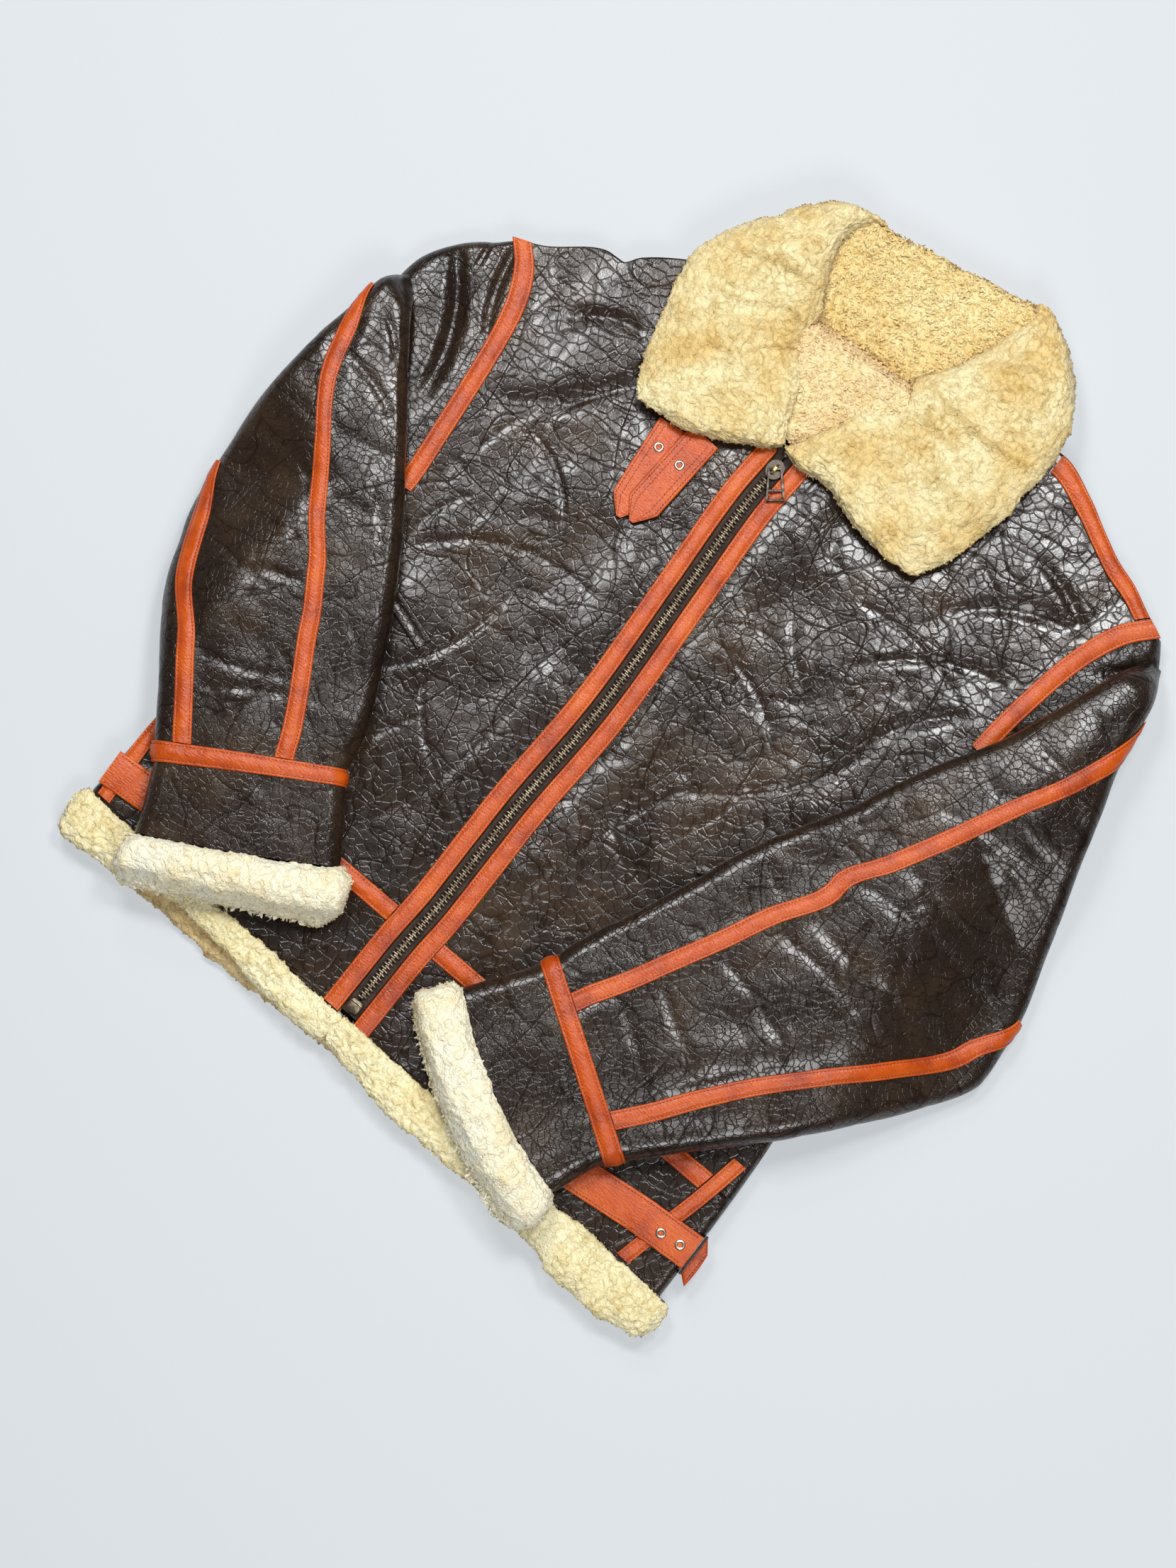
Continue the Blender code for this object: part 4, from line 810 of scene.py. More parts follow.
for side_name, length in (("right", 0.245), ("left", 0.295)):
    sign, trims = SIDE_TRIMS[side_name]
    cross_tape(
        "waist_tape_leather_" + side_name, sign, WAIST_HEIGHT,
        lambda height: zip_edge(sign, height, WAIST_TRIM_FROM_ZIP),
        lambda height: flow(trims, height).x - sign * FROM_SIDE_TRIM,
        "waist_trim_" + side_name,
    )
cross_tape(
    "shoulder_tape_leather_left", 1, SHOULDER_TRIM_HEIGHT, lambda height: SHOULDER_TRIM_START + 0 * height,
    lambda height: side_edge(1, height) - FROM_ARMHOLE_TRIM, "shoulder_trim_left",
)

# Zip
# A coarse metal zip on dark cotton tape runs from a square box at the hem to the slider below the
# collar. The slider carries a wire pull tab with a cross bar, which lies over to one side.

TAPE_LOW = FRONT_TOP - 2.7
CHAIN_LOW, CHAIN_HIGH = TAPE_LOW + 1.3, TAPE_LOW + 3.7


def woven_surface(name, colour, pale):
    made, tree, shader = plain_surface(name, colour, 0.9)
    vector = mapped(tree)
    sockets = {"Vector": vector, "Scale": 160.0, "Distortion": 1.5}
    rib = node_of(tree, "ShaderNodeTexWave", sockets, wave_type="BANDS", bands_direction="Y")
    cloud = noise_of(tree, vector, 12, 4.0)
    tone = ramp_of(tree, cloud, [(0.3, colour), (0.75, pale)])
    fed(tree, shader, {"Base Color": tone})
    bumped(tree, shader, rib.outputs["Fac"], 0.3)
    return made


dark_cotton = woven_surface("dark_cotton_tape", linear(44, 36, 33), linear(78, 62, 54))
for side_name, sign in (("right", -1), ("left", 1)):
    height = np.linspace(-6, ZIP_HIGH, 200)[:, None]
    across = np.array([0.2, 0.3, 3.0, 6.0, 7.3, 7.4])[None, :]
    lift = np.array([0.0, 1.0, 1.0, 1.0, 1.0, 0.0])[None, :]
    x = zip_edge(sign, height, across)
    cotton = cloth(
        "zip_cotton_" + side_name, [stack(x, body_y(height, x), TAPE_LOW + lift)], dark_cotton,
        "zip_tape_" + side_name,
    )


def metal_surface(name, dark, bright, rough):
    made, tree, shader = plain_surface(name, dark, rough, 1.0)
    vector = mapped(tree)
    cloud = noise_of(tree, vector, 5, 4.0)
    tone = ramp_of(tree, cloud, [(0.35, dark), (0.68, bright)])
    wear = ramp_of(tree, cloud, [(0.3, grey(rough + 0.15)), (0.7, grey(rough - 0.08))])
    fed(tree, shader, {"Base Color": tone, "Roughness": wear})
    bumped(tree, shader, noise_of(tree, vector, 1.2, 3.0), 0.12)
    return made


zip_metal = metal_surface("aged_zip_brass", linear(96, 86, 72), linear(160, 146, 124), 0.36)
dark_metal = metal_surface("gunmetal", linear(50, 46, 43), linear(92, 86, 80), 0.32)
slider_metal = metal_surface("slider_gunmetal", linear(50, 46, 43), linear(92, 86, 80), 0.32)

# The crown of the slider has lost its dark finish and shows the brass.
slider_tree = slider_metal.node_tree
box_place = node_of(slider_tree, "ShaderNodeTexCoord", {}).outputs["Generated"]
box_split = node_of(slider_tree, "ShaderNodeSeparateXYZ", {0: box_place})
crown = ramp_of(slider_tree, box_split.outputs["Z"], [
    (0.60, linear(70, 64, 58)), (0.66, linear(168, 140, 92)),
])
fed(slider_tree, slider_tree.nodes["Principled BSDF"], {"Base Color": crown})
nickel = metal_surface("worn_nickel", linear(168, 160, 148), linear(216, 208, 196), 0.28)


def loft(sections):
    """One grid from a list of closed sections of equal length."""
    grid = np.array(sections, float)
    return np.concatenate([grid, grid[:, :1]], 1)


def squared(value, power):
    """A sine or cosine pushed out to its ends, which makes a round section squarer."""
    return math.copysign(abs(value) ** power, value)


def tooth(sign):
    """A single tooth about the zip line: a stem clamped on the tape and a cupped head."""
    rows = []
    for out, half, low, high in (
        (4.6, 0.2, -0.6, 0.6), (4.5, 0.95, -1.1, 1.0), (1.6, 0.95, -1.2, 1.15), (0.6, 0.75, -1.1, 1.1),
        (-0.3, 1.25, -1.15, 1.2), (-1.3, 1.2, -1.1, 1.15), (-1.6, 0.5, -0.6, 0.6),
    ):
        section = []
        for turn in range(8):
            angle = math.pi * (turn + 0.5) / 4
            across = squared(math.cos(angle), 0.5) * half
            up = squared(math.sin(angle), 0.5)
            section.append((out * sign, across, (high if up > 0 else -low) * up))
        rows.append(section)
    return loft(rows)


teeth = []
PITCH, FIRST_TOOTH, LAST_TOOTH = 3.8, 11.0, 556
for sign, first in ((-1, FIRST_TOOTH), (1, FIRST_TOOTH + PITCH / 2)):
    shape = tooth(sign)
    for height in np.arange(first, LAST_TOOTH, PITCH):
        x = float(flow(ZIP_LINE, height).x)
        teeth.append(shape + np.array([x, height, (CHAIN_LOW + CHAIN_HIGH) / 2]))
cloth("zip_teeth", [np.stack(teeth)], zip_metal, "zip_chain")


def bevel_box(x, y, low, high, half_x, half_y, round_by):
    """A box with softened corners, as a closed loft from its floor to its top."""
    rows = []
    for z, inset, closed in (
        (low, 0, 0), (low, round_by, 1), (low + round_by, 0, 1),
        (high - round_by, 0, 1), (high, round_by, 1), (high, 0, 0),
    ):
        section = []
        for turn in range(16):
            angle = 2 * math.pi * (turn + 0.5) / 16
            across = squared(math.cos(angle), 0.35) * (half_x - inset) * closed
            along = squared(math.sin(angle), 0.35) * (half_y - inset) * closed
            section.append((x + across, y + along, z))
        rows.append(section)
    return loft(rows)


cloth(
    "zip_foot_box",
    [
        bevel_box(0, 2, CHAIN_LOW, CHAIN_HIGH + 0.6, 6, 6, 0.8),
        bevel_box(0, 4.8, CHAIN_HIGH, CHAIN_HIGH + 1.1, 5.6, 1.0, 0.3),
    ],
    zip_metal, "zip_box",
)


def coated(node, surface):
    """A CAD piece that is shown as it is, in a surface of its own."""
    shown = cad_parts[node]
    shown.data.materials.clear()
    shown.data.materials.append(surface)
    return shown


slider_object = coated("zip_slider", slider_metal)
pull_object = coated("zip_pull", dark_metal)
for shown in (slider_object, pull_object):
    soften = shown.modifiers.new("soft_edges", "BEVEL")
    soften.width = 0.00035
    soften.segments = 3
    soften.limit_method = "ANGLE"
fuller = pull_object.modifiers.new("fuller_wire", "DISPLACE")
fuller.strength = 0.0003
fuller.mid_level = 0.0

# Straps, eyelets and side buckle
# Two orange straps, one over the other, pass out from under the collar's right lobe, and another runs
# round the waist to a plain wire buckle at the side. Their holes are lined with small nickel eyelets.

STRAP_LOW = FRONT_TOP + 0.3


STRAP_THICK = 1.9


def strap(name, line, half, low, node, tip=False, rows=(-0.82, 0.82)):
    """A flat strap along a bent line, sewn in rows along it, with its end cut to a point or square."""
    line = np.array(line, float)
    run = np.concatenate([[0], np.cumsum(np.linalg.norm(np.diff(line[:, :2], axis=0), axis=1))])
    marks = np.linspace(0, run[-1], int(run[-1] / 1.6))
    spot = np.stack([np.interp(marks, run, line[:, k]) for k in range(2)], -1)
    rise = np.interp(marks, run, line[:, 2]) if line.shape[1] > 2 else np.zeros(len(marks))
    way = unit(np.gradient(spot, axis=0))
    side = np.stack([way[:, 1], -way[:, 0]], -1)
    wide = np.full(len(marks), half)
    if tip:
        wide = half * np.clip(0.1 + marks / 19.0, 0, 1) ** 0.92
    profile = [
        (-1, 0.0), (-1, 0.75), (-0.94, 1.0), (-0.82, 0.86), (-0.7, 1.0), (0, 1.06), (0.7, 1.0), (0.82, 0.86),
        (0.94, 1.0), (1, 0.75), (1, 0.0),
    ]
    grid = []
    for part, up in profile:
        point = spot + side * (wide * part)[:, None]
        grid.append(np.concatenate([point, (low + rise + STRAP_THICK * up)[:, None]], 1))
    grid = np.stack(grid, 1)
    grid[..., 2] += 0.25 * waver(grid, 9, 41)
    made = cloth(name, [grid], orange, node)
    for part in rows:
        edge = spot + side * (wide * part)[:, None]
        keep = slice(2, len(edge) - 2)
        stitch_places.append(np.concatenate([edge, (low + rise + STRAP_THICK * 0.98)[:, None]], 1)[keep])


FOUR_ROWS = (-0.82, -0.5, 0.5, 0.82)
strap(
    "collar_strap_leather_lower", [(-77, 455), (-80, 480), (-83, 510), (-86, 544)],
    15, STRAP_LOW, "collar_strap_lower", tip=True, rows=FOUR_ROWS,
)
strap(
    "collar_strap_leather_upper", [(-66, 458), (-66, 480), (-64, 510), (-61, 552)],
    15, STRAP_LOW + 2.1, "collar_strap_upper", tip=True, rows=FOUR_ROWS,
)
strap(
    "waist_strap_leather_right", [(-281, 34, 1.7), (-259, 35, 1.7), (-254, 35.3, 0), (-200, 37, 0)],
    15.5, STRAP_LOW, "waist_strap_right",
)
strap(
    "waist_strap_leather_left", [(200, 3, 0), (284, 10, 0), (292, 10.5, 1.9), (341.5, 12, 1.9)],
    15.5, STRAP_LOW, "waist_strap_left",
)


def eyelet(x, y, low):
    rows = []
    for radius, up in (
        (4.5, 0.0), (4.4, 0.5), (3.9, 0.95), (3.2, 1.1), (2.5, 0.95), (2.05, 0.5), (2.0, -0.3),
    ):
        angles = [turn * math.pi / 16 for turn in range(32)]
        rows.append([(x + radius * math.cos(a), y + radius * math.sin(a), low + up) for a in angles])
    return loft(rows)


strap_top = STRAP_LOW + 2.0
for name, x, y, low, node in (
    ("collar_eyelet_metal_lower", -86, 522, strap_top, "collar_eyelet_lower"),
    ("collar_eyelet_metal_upper", -63, 520, strap_top + 2.0, "collar_eyelet_upper"),
    ("waist_eyelet_metal_inner", 311, 9, strap_top + 2.0, "waist_eyelet_inner"),
    ("waist_eyelet_metal_outer", 329, 11, strap_top + 2.0, "waist_eyelet_outer"),
):
    cloth(name, [eyelet(x, y, low)], nickel, node)
coated("side_buckle", dark_metal)
along, across = np.linspace(0, 1, 9)[:, None], np.linspace(0, 1, 19)[None, :]
border = np.minimum(np.minimum(across, 1 - across) * 34, (1 - along) * 9)
tail_y = (-7 + 36 * across) * (1 - along) + (-14 + 32 * across) * along
tail_z = 19.7 + 2.2 * np.sqrt(np.clip(border / 1.2, 0, 1)) - 0.5 * np.exp(-(((border - 2.8) / 0.8) ** 2))
tail_x = 344.3 + 8.0 * along + 1.0 * along * (1 - (2 * across - 1) ** 2)
tail_grid = stack(tail_x, tail_y, tail_z)
tail = cloth("waist_strap_tail_leather", [tail_grid], orange, "waist_strap_tail")
stitch_places.append(stack(tail_x, tail_y, tail_z + 0.2)[6, 2:-2])

# Pocket welts
# Each front has a slanting pocket mouth edged with a narrow folded strip of the brown leather, and
# most of it is hidden by the folded sleeves.


def welt(name, x0, y0, x1, y1, half, node):
    part = np.linspace(0, 1, 40)[:, None]
    way = np.array([x1 - x0, y1 - y0]) / math.hypot(x1 - x0, y1 - y0)
    side = np.array([way[1], -way[0]])
    across, up = np.array([
        (-1, 0), (-1, 0.8), (-0.8, 1.0), (-0.3, 0.8), (0, 0.35), (0.3, 0.8), (0.8, 1.0), (1, 0.8), (1, 0),
    ]).T[:, None]
    x = x0 + (x1 - x0) * part + side[0] * half * across
    y = y0 + (y1 - y0) * part + side[1] * half * across
    grid = stack(x, y, STRAP_LOW + 1.6 * up)
    made = cloth(name, [grid], pebbled_leather, node)


welt("pocket_leather_right", -203, 295, -139, 272.5, 7.5, "pocket_welt_right")
welt("pocket_leather_left", 151, 265.5, 200, 299, 8.5, "pocket_welt_left")

# Sleeves
# Each sleeve is two skins, an upper and an under one, joined by taped seams and flattened as it lies.
# It folds down over the front, so its leather is rolled and crumpled into soft cross folds.

REST_TOP, FLOOR_CLEAR, EASE_OUT = 28.5, 0.3, 105.0
SLEEVE_RADIUS, INNER_RADIUS = 13.0, 2.5
LOWER_LAYERS = np.array([
    (-292, -34), (-290, 50), (-285, 120), (-276, 250), (-262, 340), (-330, 372), (-366, 392),
    (-366, 440), (-358, 490), (-350, 528), (-332, 556), (-292, 600), (-208, 645), (-163, 684),
    (-110, 704), (110, 714), (184, 728), (249, 702), (322, 668), (358, 640), (370, 600), (376, 560),
    (390, 520), (392, 470), (300, 430), (312, 300), (338, 200), (348, 120), (350, 0), (352, -72),
    (226, -65), (35, -45), (-74, -40), (-186, -34),
], float)


def rest_height(x, y):
    """What lies below a sleeve or the collar, easing to the table past its outline."""
    away = np.full(x.shape, 1e9)
    inside = np.zeros(x.shape, bool)
    for (ax, ay), (bx, by) in zip(LOWER_LAYERS, np.roll(LOWER_LAYERS, -1, axis=0)):
        dx, dy = bx - ax, by - ay
        t = np.clip(((x - ax) * dx + (y - ay) * dy) / (dx * dx + dy * dy), 0, 1)
        away = np.minimum(away, np.hypot(x - ax - t * dx, y - ay - t * dy))
        if dy:
            inside ^= ((ay > y) != (by > y)) & (x < ax + (y - ay) / dy * dx)
    away = np.where(inside, 0.0, away)
    return REST_TOP + (FLOOR_CLEAR - REST_TOP) * ease(away / EASE_OUT)


Station = namedtuple("Station", "step outer_x outer_y inner_x inner_y outer_seam inner_seam")
RIGHT_SLEEVE = table_of(Station, [
    (0, -343, 512, -329, 503, -22, -1), (1, -355, 490, -312, 478, -45, -2),
    (2, -361, 448, -283, 437, -34, 19), (3, -369, 400, -252, 396, -25, 41),
    (4, -373, 345, -221, 353, -14, 78), (5, -371, 290, -197, 316, 2, 106),
    (6, -362, 243, -176, 279, 18, 128), (7, -345, 190, -157, 243, 25, 138),
    (8, -318, 148, -138, 205, 33, 134), (9, -288, 106, -127, 172, 33, 126),
    (10, -264, 72, -123, 150, 33, 118), (11, -258.5, 65, -119, 144, 33, 118),
])
LEFT_SLEEVE = table_of(Station, [
    (0, 358, 628, 343, 628, -18, -4), (1, 369, 595, 327, 598, -45, -10),
    (2, 375, 551, 312, 558, -40, 8), (3, 389, 500, 292, 507, -34, 42),
    (4, 404, 447, 268, 466, -26, 83), (5, 424, 385, 242, 420, -15, 130),
    (6, 441, 325, 219, 371, 2, 176), (7, 447, 270, 195, 332, 36, 207),
    (8, 415, 215, 170, 286, 47, 203), (9, 383, 175, 152, 245, 54, 192),
    (10, 349, 136, 135, 206, 57, 180), (11, 313, 98, 119, 172, 53, 165),
    (12, 280, 64, 110, 148, 46, 153), (13, 253, 37, 107, 136, 42, 143),
    (14, 247, 30.5, 103, 129, 42, 143),
])


def ring_size(station):
    width = np.hypot(station.inner_x - station.outer_x, station.inner_y - station.outer_y)
    radius = np.minimum(SLEEVE_RADIUS, width * 0.46)
    return width, radius, math.pi * radius + width - 2 * radius


def tube(station, along, out=0.0, swell=0.0, bow=0.0, within=False):
    """Points of a flattened tube, measured over its top from the outer edge, moved out by an amount."""
    width, radius, top = ring_size(station)
    dx, dy = station.inner_x - station.outer_x, station.inner_y - station.outer_y
    along = (along + top) % (2 * top) - top
    reach = np.abs(along)
    turn = math.pi * radius / 2
    first, last = reach < turn, reach > top - turn
    angle = np.where(first, reach, top - reach) / radius
    near = np.where(first, radius, np.where(last, width - radius, radius + reach - turn))
    away = np.where(first, -np.cos(angle), np.where(last, np.cos(angle), 0.0))
    lift = np.where(first | last, np.sin(angle), 1.0)
    size = INNER_RADIUS if within else radius + out
    part = (near + away * size) / width
    bulge = 1 - (2 * part - 1) ** 2
    sink = bow * bulge * np.sign(dx) / width
    x = station.outer_x + dx * part + dy * sink
    y = station.outer_y + dy * part - dx * sink
    swollen = np.maximum(radius + swell, 3.5)
    grown = INNER_RADIUS + 0 * swollen if within else swollen + out
    side = np.where(along >= 0, 1.0, -1.0)
    z = rest_height(x, y) + swollen + side * lift * grown
    if not within:
        z = z + np.where(side > 0, 6.0 * bulge ** 2 * lift * np.minimum(1.0, width / 120), 0.0)
    return stack(x, y, z)


SLEEVE_CREASES = table_of(Crease, [
    (-340, 470, -300, 440, 6, 3, 1.6), (-350, 420, -270, 400, 8, 4, 1.8),
    (-365, 370, -250, 380, -10, 4, 1.6), (-360, 330, -250, 300, 10, 4.5, 1.7),
    (-350, 280, -230, 330, 8, 4, 1.5), (-355, 250, -260, 230, -8, 3.5, 1.6),
    (-330, 200, -210, 260, 10, 4.5, 1.7), (-300, 150, -190, 190, -8, 4, 1.5),
    (-270, 120, -170, 180, 6, 3.5, 1.3), (-250, 350, -200, 280, 8, 4, 1.3),
    (-200, 250, -150, 200, 6, 3.5, 1.2), (-240, 200, -160, 150, 6, 3.5, 1.2),
    (330, 560, 370, 540, 5, 3, 1.7), (310, 510, 380, 480, 8, 4, 1.8),
    (290, 470, 390, 440, -8, 4.5, 1.8), (280, 420, 400, 400, 10, 4.5, 1.6),
    (260, 380, 420, 350, -10, 4.5, 1.7), (250, 330, 430, 310, 12, 5, 1.8),
    (240, 290, 430, 270, -8, 4.5, 1.6), (220, 260, 380, 230, 10, 4.5, 1.7),
    (190, 300, 260, 250, 8, 4, 1.3), (180, 220, 330, 170, 10, 4.5, 1.6),
    (150, 200, 280, 120, -8, 4, 1.5), (140, 150, 240, 80, 8, 4, 1.3),
    (300, 350, 350, 250, 8, 4, 1.2), (350, 420, 300, 330, 8, 4.5, 1.2),
    (205, 92, 372, 262, 0, 19, -3.4), (235, 190, 300, 250, 4, 14, -1.6),
])


# How far the top end of a sleeve sinks into the fold below its head.
HEAD_DROP = 17


def sleeve_points(table, steps, start, end, count):
    """A fine grid of a sleeve panel, with its folds and the softer swells between them."""
    station = flow(table, steps[:, None])
    first, last = start(station), end(station)
    part = np.linspace(0, 1, count)[None, :]
    along = first + SEAM_GAP + (last - first - 2 * SEAM_GAP) * part
    flat = tube(station, along)
    edge = np.minimum(part * (last - first), (1 - part) * (last - first))
    calm = ease((edge - 6) / 12)
    swell = 2.1 * waver(flat, 62, 51) + 0.8 * waver(flat, 27, 52) - 0.4 * crumpled(flat, 46, 53)
    out = (swell - 0.8 * creased(flat[..., 0], flat[..., 1], SLEEVE_CREASES)) * calm - 0.5 * (1 - calm)
    length = steps[-1] - steps
    out = out - 0.8 * np.exp(-((length[:, None] * 30 / 4) ** 2))
    out = np.where(flat[..., 2] < rest_height(flat[..., 0], flat[..., 1]) + 2.5, -0.2, out)
    points = tube(station, along, out=out)
    points[..., 2] -= HEAD_DROP * (1 - ease(steps / 1.1))[:, None]
    return points


def sleeve_tape(name, table, steps, seam, node):
    station = flow(table, steps[:, None])

    def on(across, out):
        return tube(station, getattr(station, seam) + across[None, :], out=out - 0.4)

    tape(name, node, on)


def sleeve_leather(layer, side_name, points):
    made = cloth(
        f"sleeve_leather_{layer}_{side_name}", [points], pebbled_leather, f"sleeve_{layer}_{side_name}",
    )


for side_name, table, rows, upper_flat, upper_area, under_flat, under_area in (
    ("right", RIGHT_SLEEVE, 180, (0.14, 0.52), 0.046, (0.33, 0.52), 0.115),
    ("left", LEFT_SLEEVE, 225, (0.18, 0.66), 0.085, (0.38, 0.66), 0.165),
):
    steps = np.linspace(0, table[-1].step, rows)
    upper = sleeve_points(table, steps, lambda s: s.outer_seam, lambda s: s.inner_seam, 62)
    under = sleeve_points(
        table, steps, lambda s: s.inner_seam, lambda s: 2 * ring_size(s)[2] + s.outer_seam, 120,
    )
    sleeve_leather("upper", side_name, upper)
    sleeve_leather("under", side_name, under)
for side_name, table, seam, first, length in (
    ("right", RIGHT_SLEEVE, "outer", 5.0, 0.235), ("right", RIGHT_SLEEVE, "inner", 1.2, 0.37),
    ("left", LEFT_SLEEVE, "outer", 6.0, 0.36), ("left", LEFT_SLEEVE, "inner", 1.3, 0.52),
):
    steps = np.linspace(first, table[-2].step - 0.03, int(length / MILLIMETRE / TAPE_ROWS))
    sleeve_tape(
        f"sleeve_tape_leather_{seam}_{side_name}", table, steps, seam + "_seam",
        f"sleeve_{seam}_trim_{side_name}",
    )

# Cuffs
# A straight band of the brown skin is sewn on below an orange tape, and its end is turned back so that
# the white wool shows as a fat roll round the hand opening.

Cuff = namedtuple("Cuff", "step outer_x outer_y inner_x inner_y swell bow")
CUFFS = {
    "right": table_of(Cuff, [
        (0, -258.5, 64.7, -119, 143.7, 0, 0), (1, -253, 58, -115, 138, 0, 0),
        (2, -240, 30, -96, 112, 0, 1), (3, -229, 3, -77, 84, 0, 3),
    ]),
    "left": table_of(Cuff, [
        (0, 247, 30.2, 103, 128.7, 0, 0), (1, 241, 24, 99, 122, 0, 0),
        (2, 231, 3, 81, 95, 0, 6), (3, 223, -18, 62, 69, 0, 12),
    ]),
}
CUFF_ROLLS = {
    "right": table_of(Cuff, [
        (0, -229, 3, -77, 84, -1, 3), (1, -232, -4, -67, 82, 3, 3), (2, -231, -16, -57, 70, 5, 3),
        (3, -227, -27, -54, 56, 3, 2), (4, -220, -34, -57, 45, -4, 1), (5, -212, -36, -64, 36, -8, 0),
    ]),
    "left": table_of(Cuff, [
        (0, 223, -18, 62, 69, -1, 12), (1, 228, -28, 52, 66, 3, 12), (2, 229, -42, 42, 54, 5, 12),
        (3, 224, -55, 36, 42, 3, 12), (4, 214, -63, 38, 33, -4, 11), (5, 204, -65, 45, 25, -8, 9),
    ]),
}


def loop_of(cuff):
    """A place along a sleeve with a cuff's outline, and no seams of its own."""
    return Station(0, *cuff[1:5], 0, 0)


for side_name, table, outward, seed in (("right", RIGHT_SLEEVE, -1.0, 71), ("left", LEFT_SLEEVE, 1.0, 72)):
    end = table[-1]
    cuffs = CUFFS[side_name]
    rings = flow(cuffs, np.linspace(0, 3, 28)[:, None])
    band = loop_of(rings)
    _, _, top = ring_size(band)
    along = 2 * top * np.linspace(0, 1, 150)[None, :] + 20
    flat = tube(band, along, bow=rings.bow)
    puff = 0.7 * waver(flat, 30, 61) + 0.4 * waver(flat, 12, 62)
    grid = tube(band, along, bow=rings.bow, out=np.where(flat[..., 2] > 32, puff - 0.3, -0.2))
    made = cloth(
        "cuff_leather_" + side_name, [grid], pebbled_leather, "cuff_band_" + side_name,
    )
    lines = [Cuff(k, *place[1:5], 0, 0) for k, place in enumerate((table[-2], end, cuffs[1]))]
    around = np.linspace(-8, float(ring_size(end)[2]) + 8, 70)

    def on(across, out):
        return tube(loop_of(flow(lines, 1 + across[None, :] / 8)), around[:, None], out=out)

    tape("cuff_tape_leather_" + side_name, "cuff_trim_" + side_name, on)
    roll = CUFF_ROLLS[side_name]
    rings = flow(roll, np.linspace(0, 5, 40)[:, None])
    ring = loop_of(rings)
    _, _, top = ring_size(ring)
    along = 2 * top * np.linspace(0, 1, 210)[None, :] + 20
    grid = tube(ring, along, swell=rings.swell, bow=rings.bow)
    lip = tube(ring, along, swell=rings.swell, bow=rings.bow, within=True)[::-1]
    inward = lip[:1] * 0.5 + grid[-1:] * 0.5
    full = np.concatenate([grid, inward, lip[:12]], 0)
    made = fleece(
        "cuff_fleece_" + side_name, full, outward, cuff_wool, "cuff_fur_" + side_name, seed,
        tuft=7.5,
    )
    along = 2 * top * np.linspace(0, 1, 40)[None, :]
    skin = tube(ring, along, swell=rings.swell - 3, bow=rings.bow, out=-3.0)
    backing("cuff_fleece_skin_" + side_name, skin[4:24:4])

# Collar
# The big collar is two skins back to back with the wool outside. Its two lobes lie open over the
# shoulders, and the stand between them shows golden wool at the back of the neck, darkened there
# with painted shade in its hollows.

Lobe = namedtuple("Lobe", "step inner_x inner_y outer_x outer_y thick")
RIGHT_LOBE = table_of(Lobe, [
    (0, -4, 586, -12, 577, 14), (1, -12, 600, -45, 558, 18), (2, -20, 617, -85, 544, 20),
    (3, -30, 637, -122, 541, 20), (4, -40, 653, -143, 580, 20), (5, -47, 664, -155, 622, 21),
    (6, -50, 688, -163, 664, 22), (7, -58, 708, -152, 697, 24), (8, -66, 728, -128, 735, 26),
    (9, -70, 748, -105, 767, 26), (10, -62, 770, -84, 781, 24), (11, -54, 779, -64, 784, 20),
    (12, -46, 782, -50, 785, 16),
])
LEFT_LOBE = table_of(Lobe, [
    (0, -2, 584, 13, 578, 14), (1, 8, 600, 45, 580, 18), (2, 20, 622, 80, 568, 20),
    (3, 32, 645, 110, 562, 20), (4, 45, 660, 140, 561, 20), (5, 58, 673, 163, 590, 21),
    (6, 52, 692, 177, 645, 22), (7, 66, 715, 182, 695, 24), (8, 78, 741, 180, 724, 26),
    (9, 85, 765, 168, 755, 26), (10, 90, 786, 145, 784, 24), (11, 91, 800, 120, 804, 20),
    (12, 89, 808, 102, 812, 16),
])
LOBE_SECTION = table_of(Lip, [
    (0.00, -0.03, 0.30), (0.04, -0.02, 0.55), (0.11, 0.05, 0.80), (0.22, 0.22, 0.97), (0.40, 0.50, 1.03),
    (0.58, 0.78, 0.98), (0.68, 0.92, 0.82), (0.74, 1.0, 0.50), (0.80, 0.96, 0.16),
    (0.86, 0.86, 0.02), (1.00, 0.10, 0.0),
])
collar_wool = wool(
    "collar_wool", (150, 112, 54), (219, 197, 136), (244, 230, 180),
    (136, 98, 42), (205, 169, 98), (231, 202, 134),
)
inner_wool = wool(
    "collar_inner_wool", (158, 114, 54), (235, 206, 135), (251, 234, 176),
    (146, 102, 46), (226, 188, 112), (246, 220, 150),
)
neck_wool = wool(
    "neck_wool", (174, 128, 68), (236, 206, 142), (250, 231, 178),
    (174, 122, 72), (227, 187, 126), (244, 215, 160),
)

# The wool parts in a sunk line where the skin below it bends, darkened with painted shade.
COLLAR_PARTINGS = table_of(Crease, [
    (-142, 686, -62, 707, 5, 3.2, 3.0), (-138, 652, -82, 672, -4, 2.6, 2.2),
    (-88, 672, -46, 674, 3, 2.8, 2.6), (-70, 640, -40, 662, -3, 2.2, 1.6),
    (56, 700, 168, 692, -8, 3.2, 3.0), (54, 668, 120, 662, 5, 2.8, 2.4),
    (78, 730, 148, 764, 6, 2.6, 2.0), (100, 640, 150, 612, 5, 2.2, 1.4),
    (-120, 590, -70, 612, 5, 2.2, 1.4), (84, 716, 128, 724, 3, 2.2, 1.8),
])


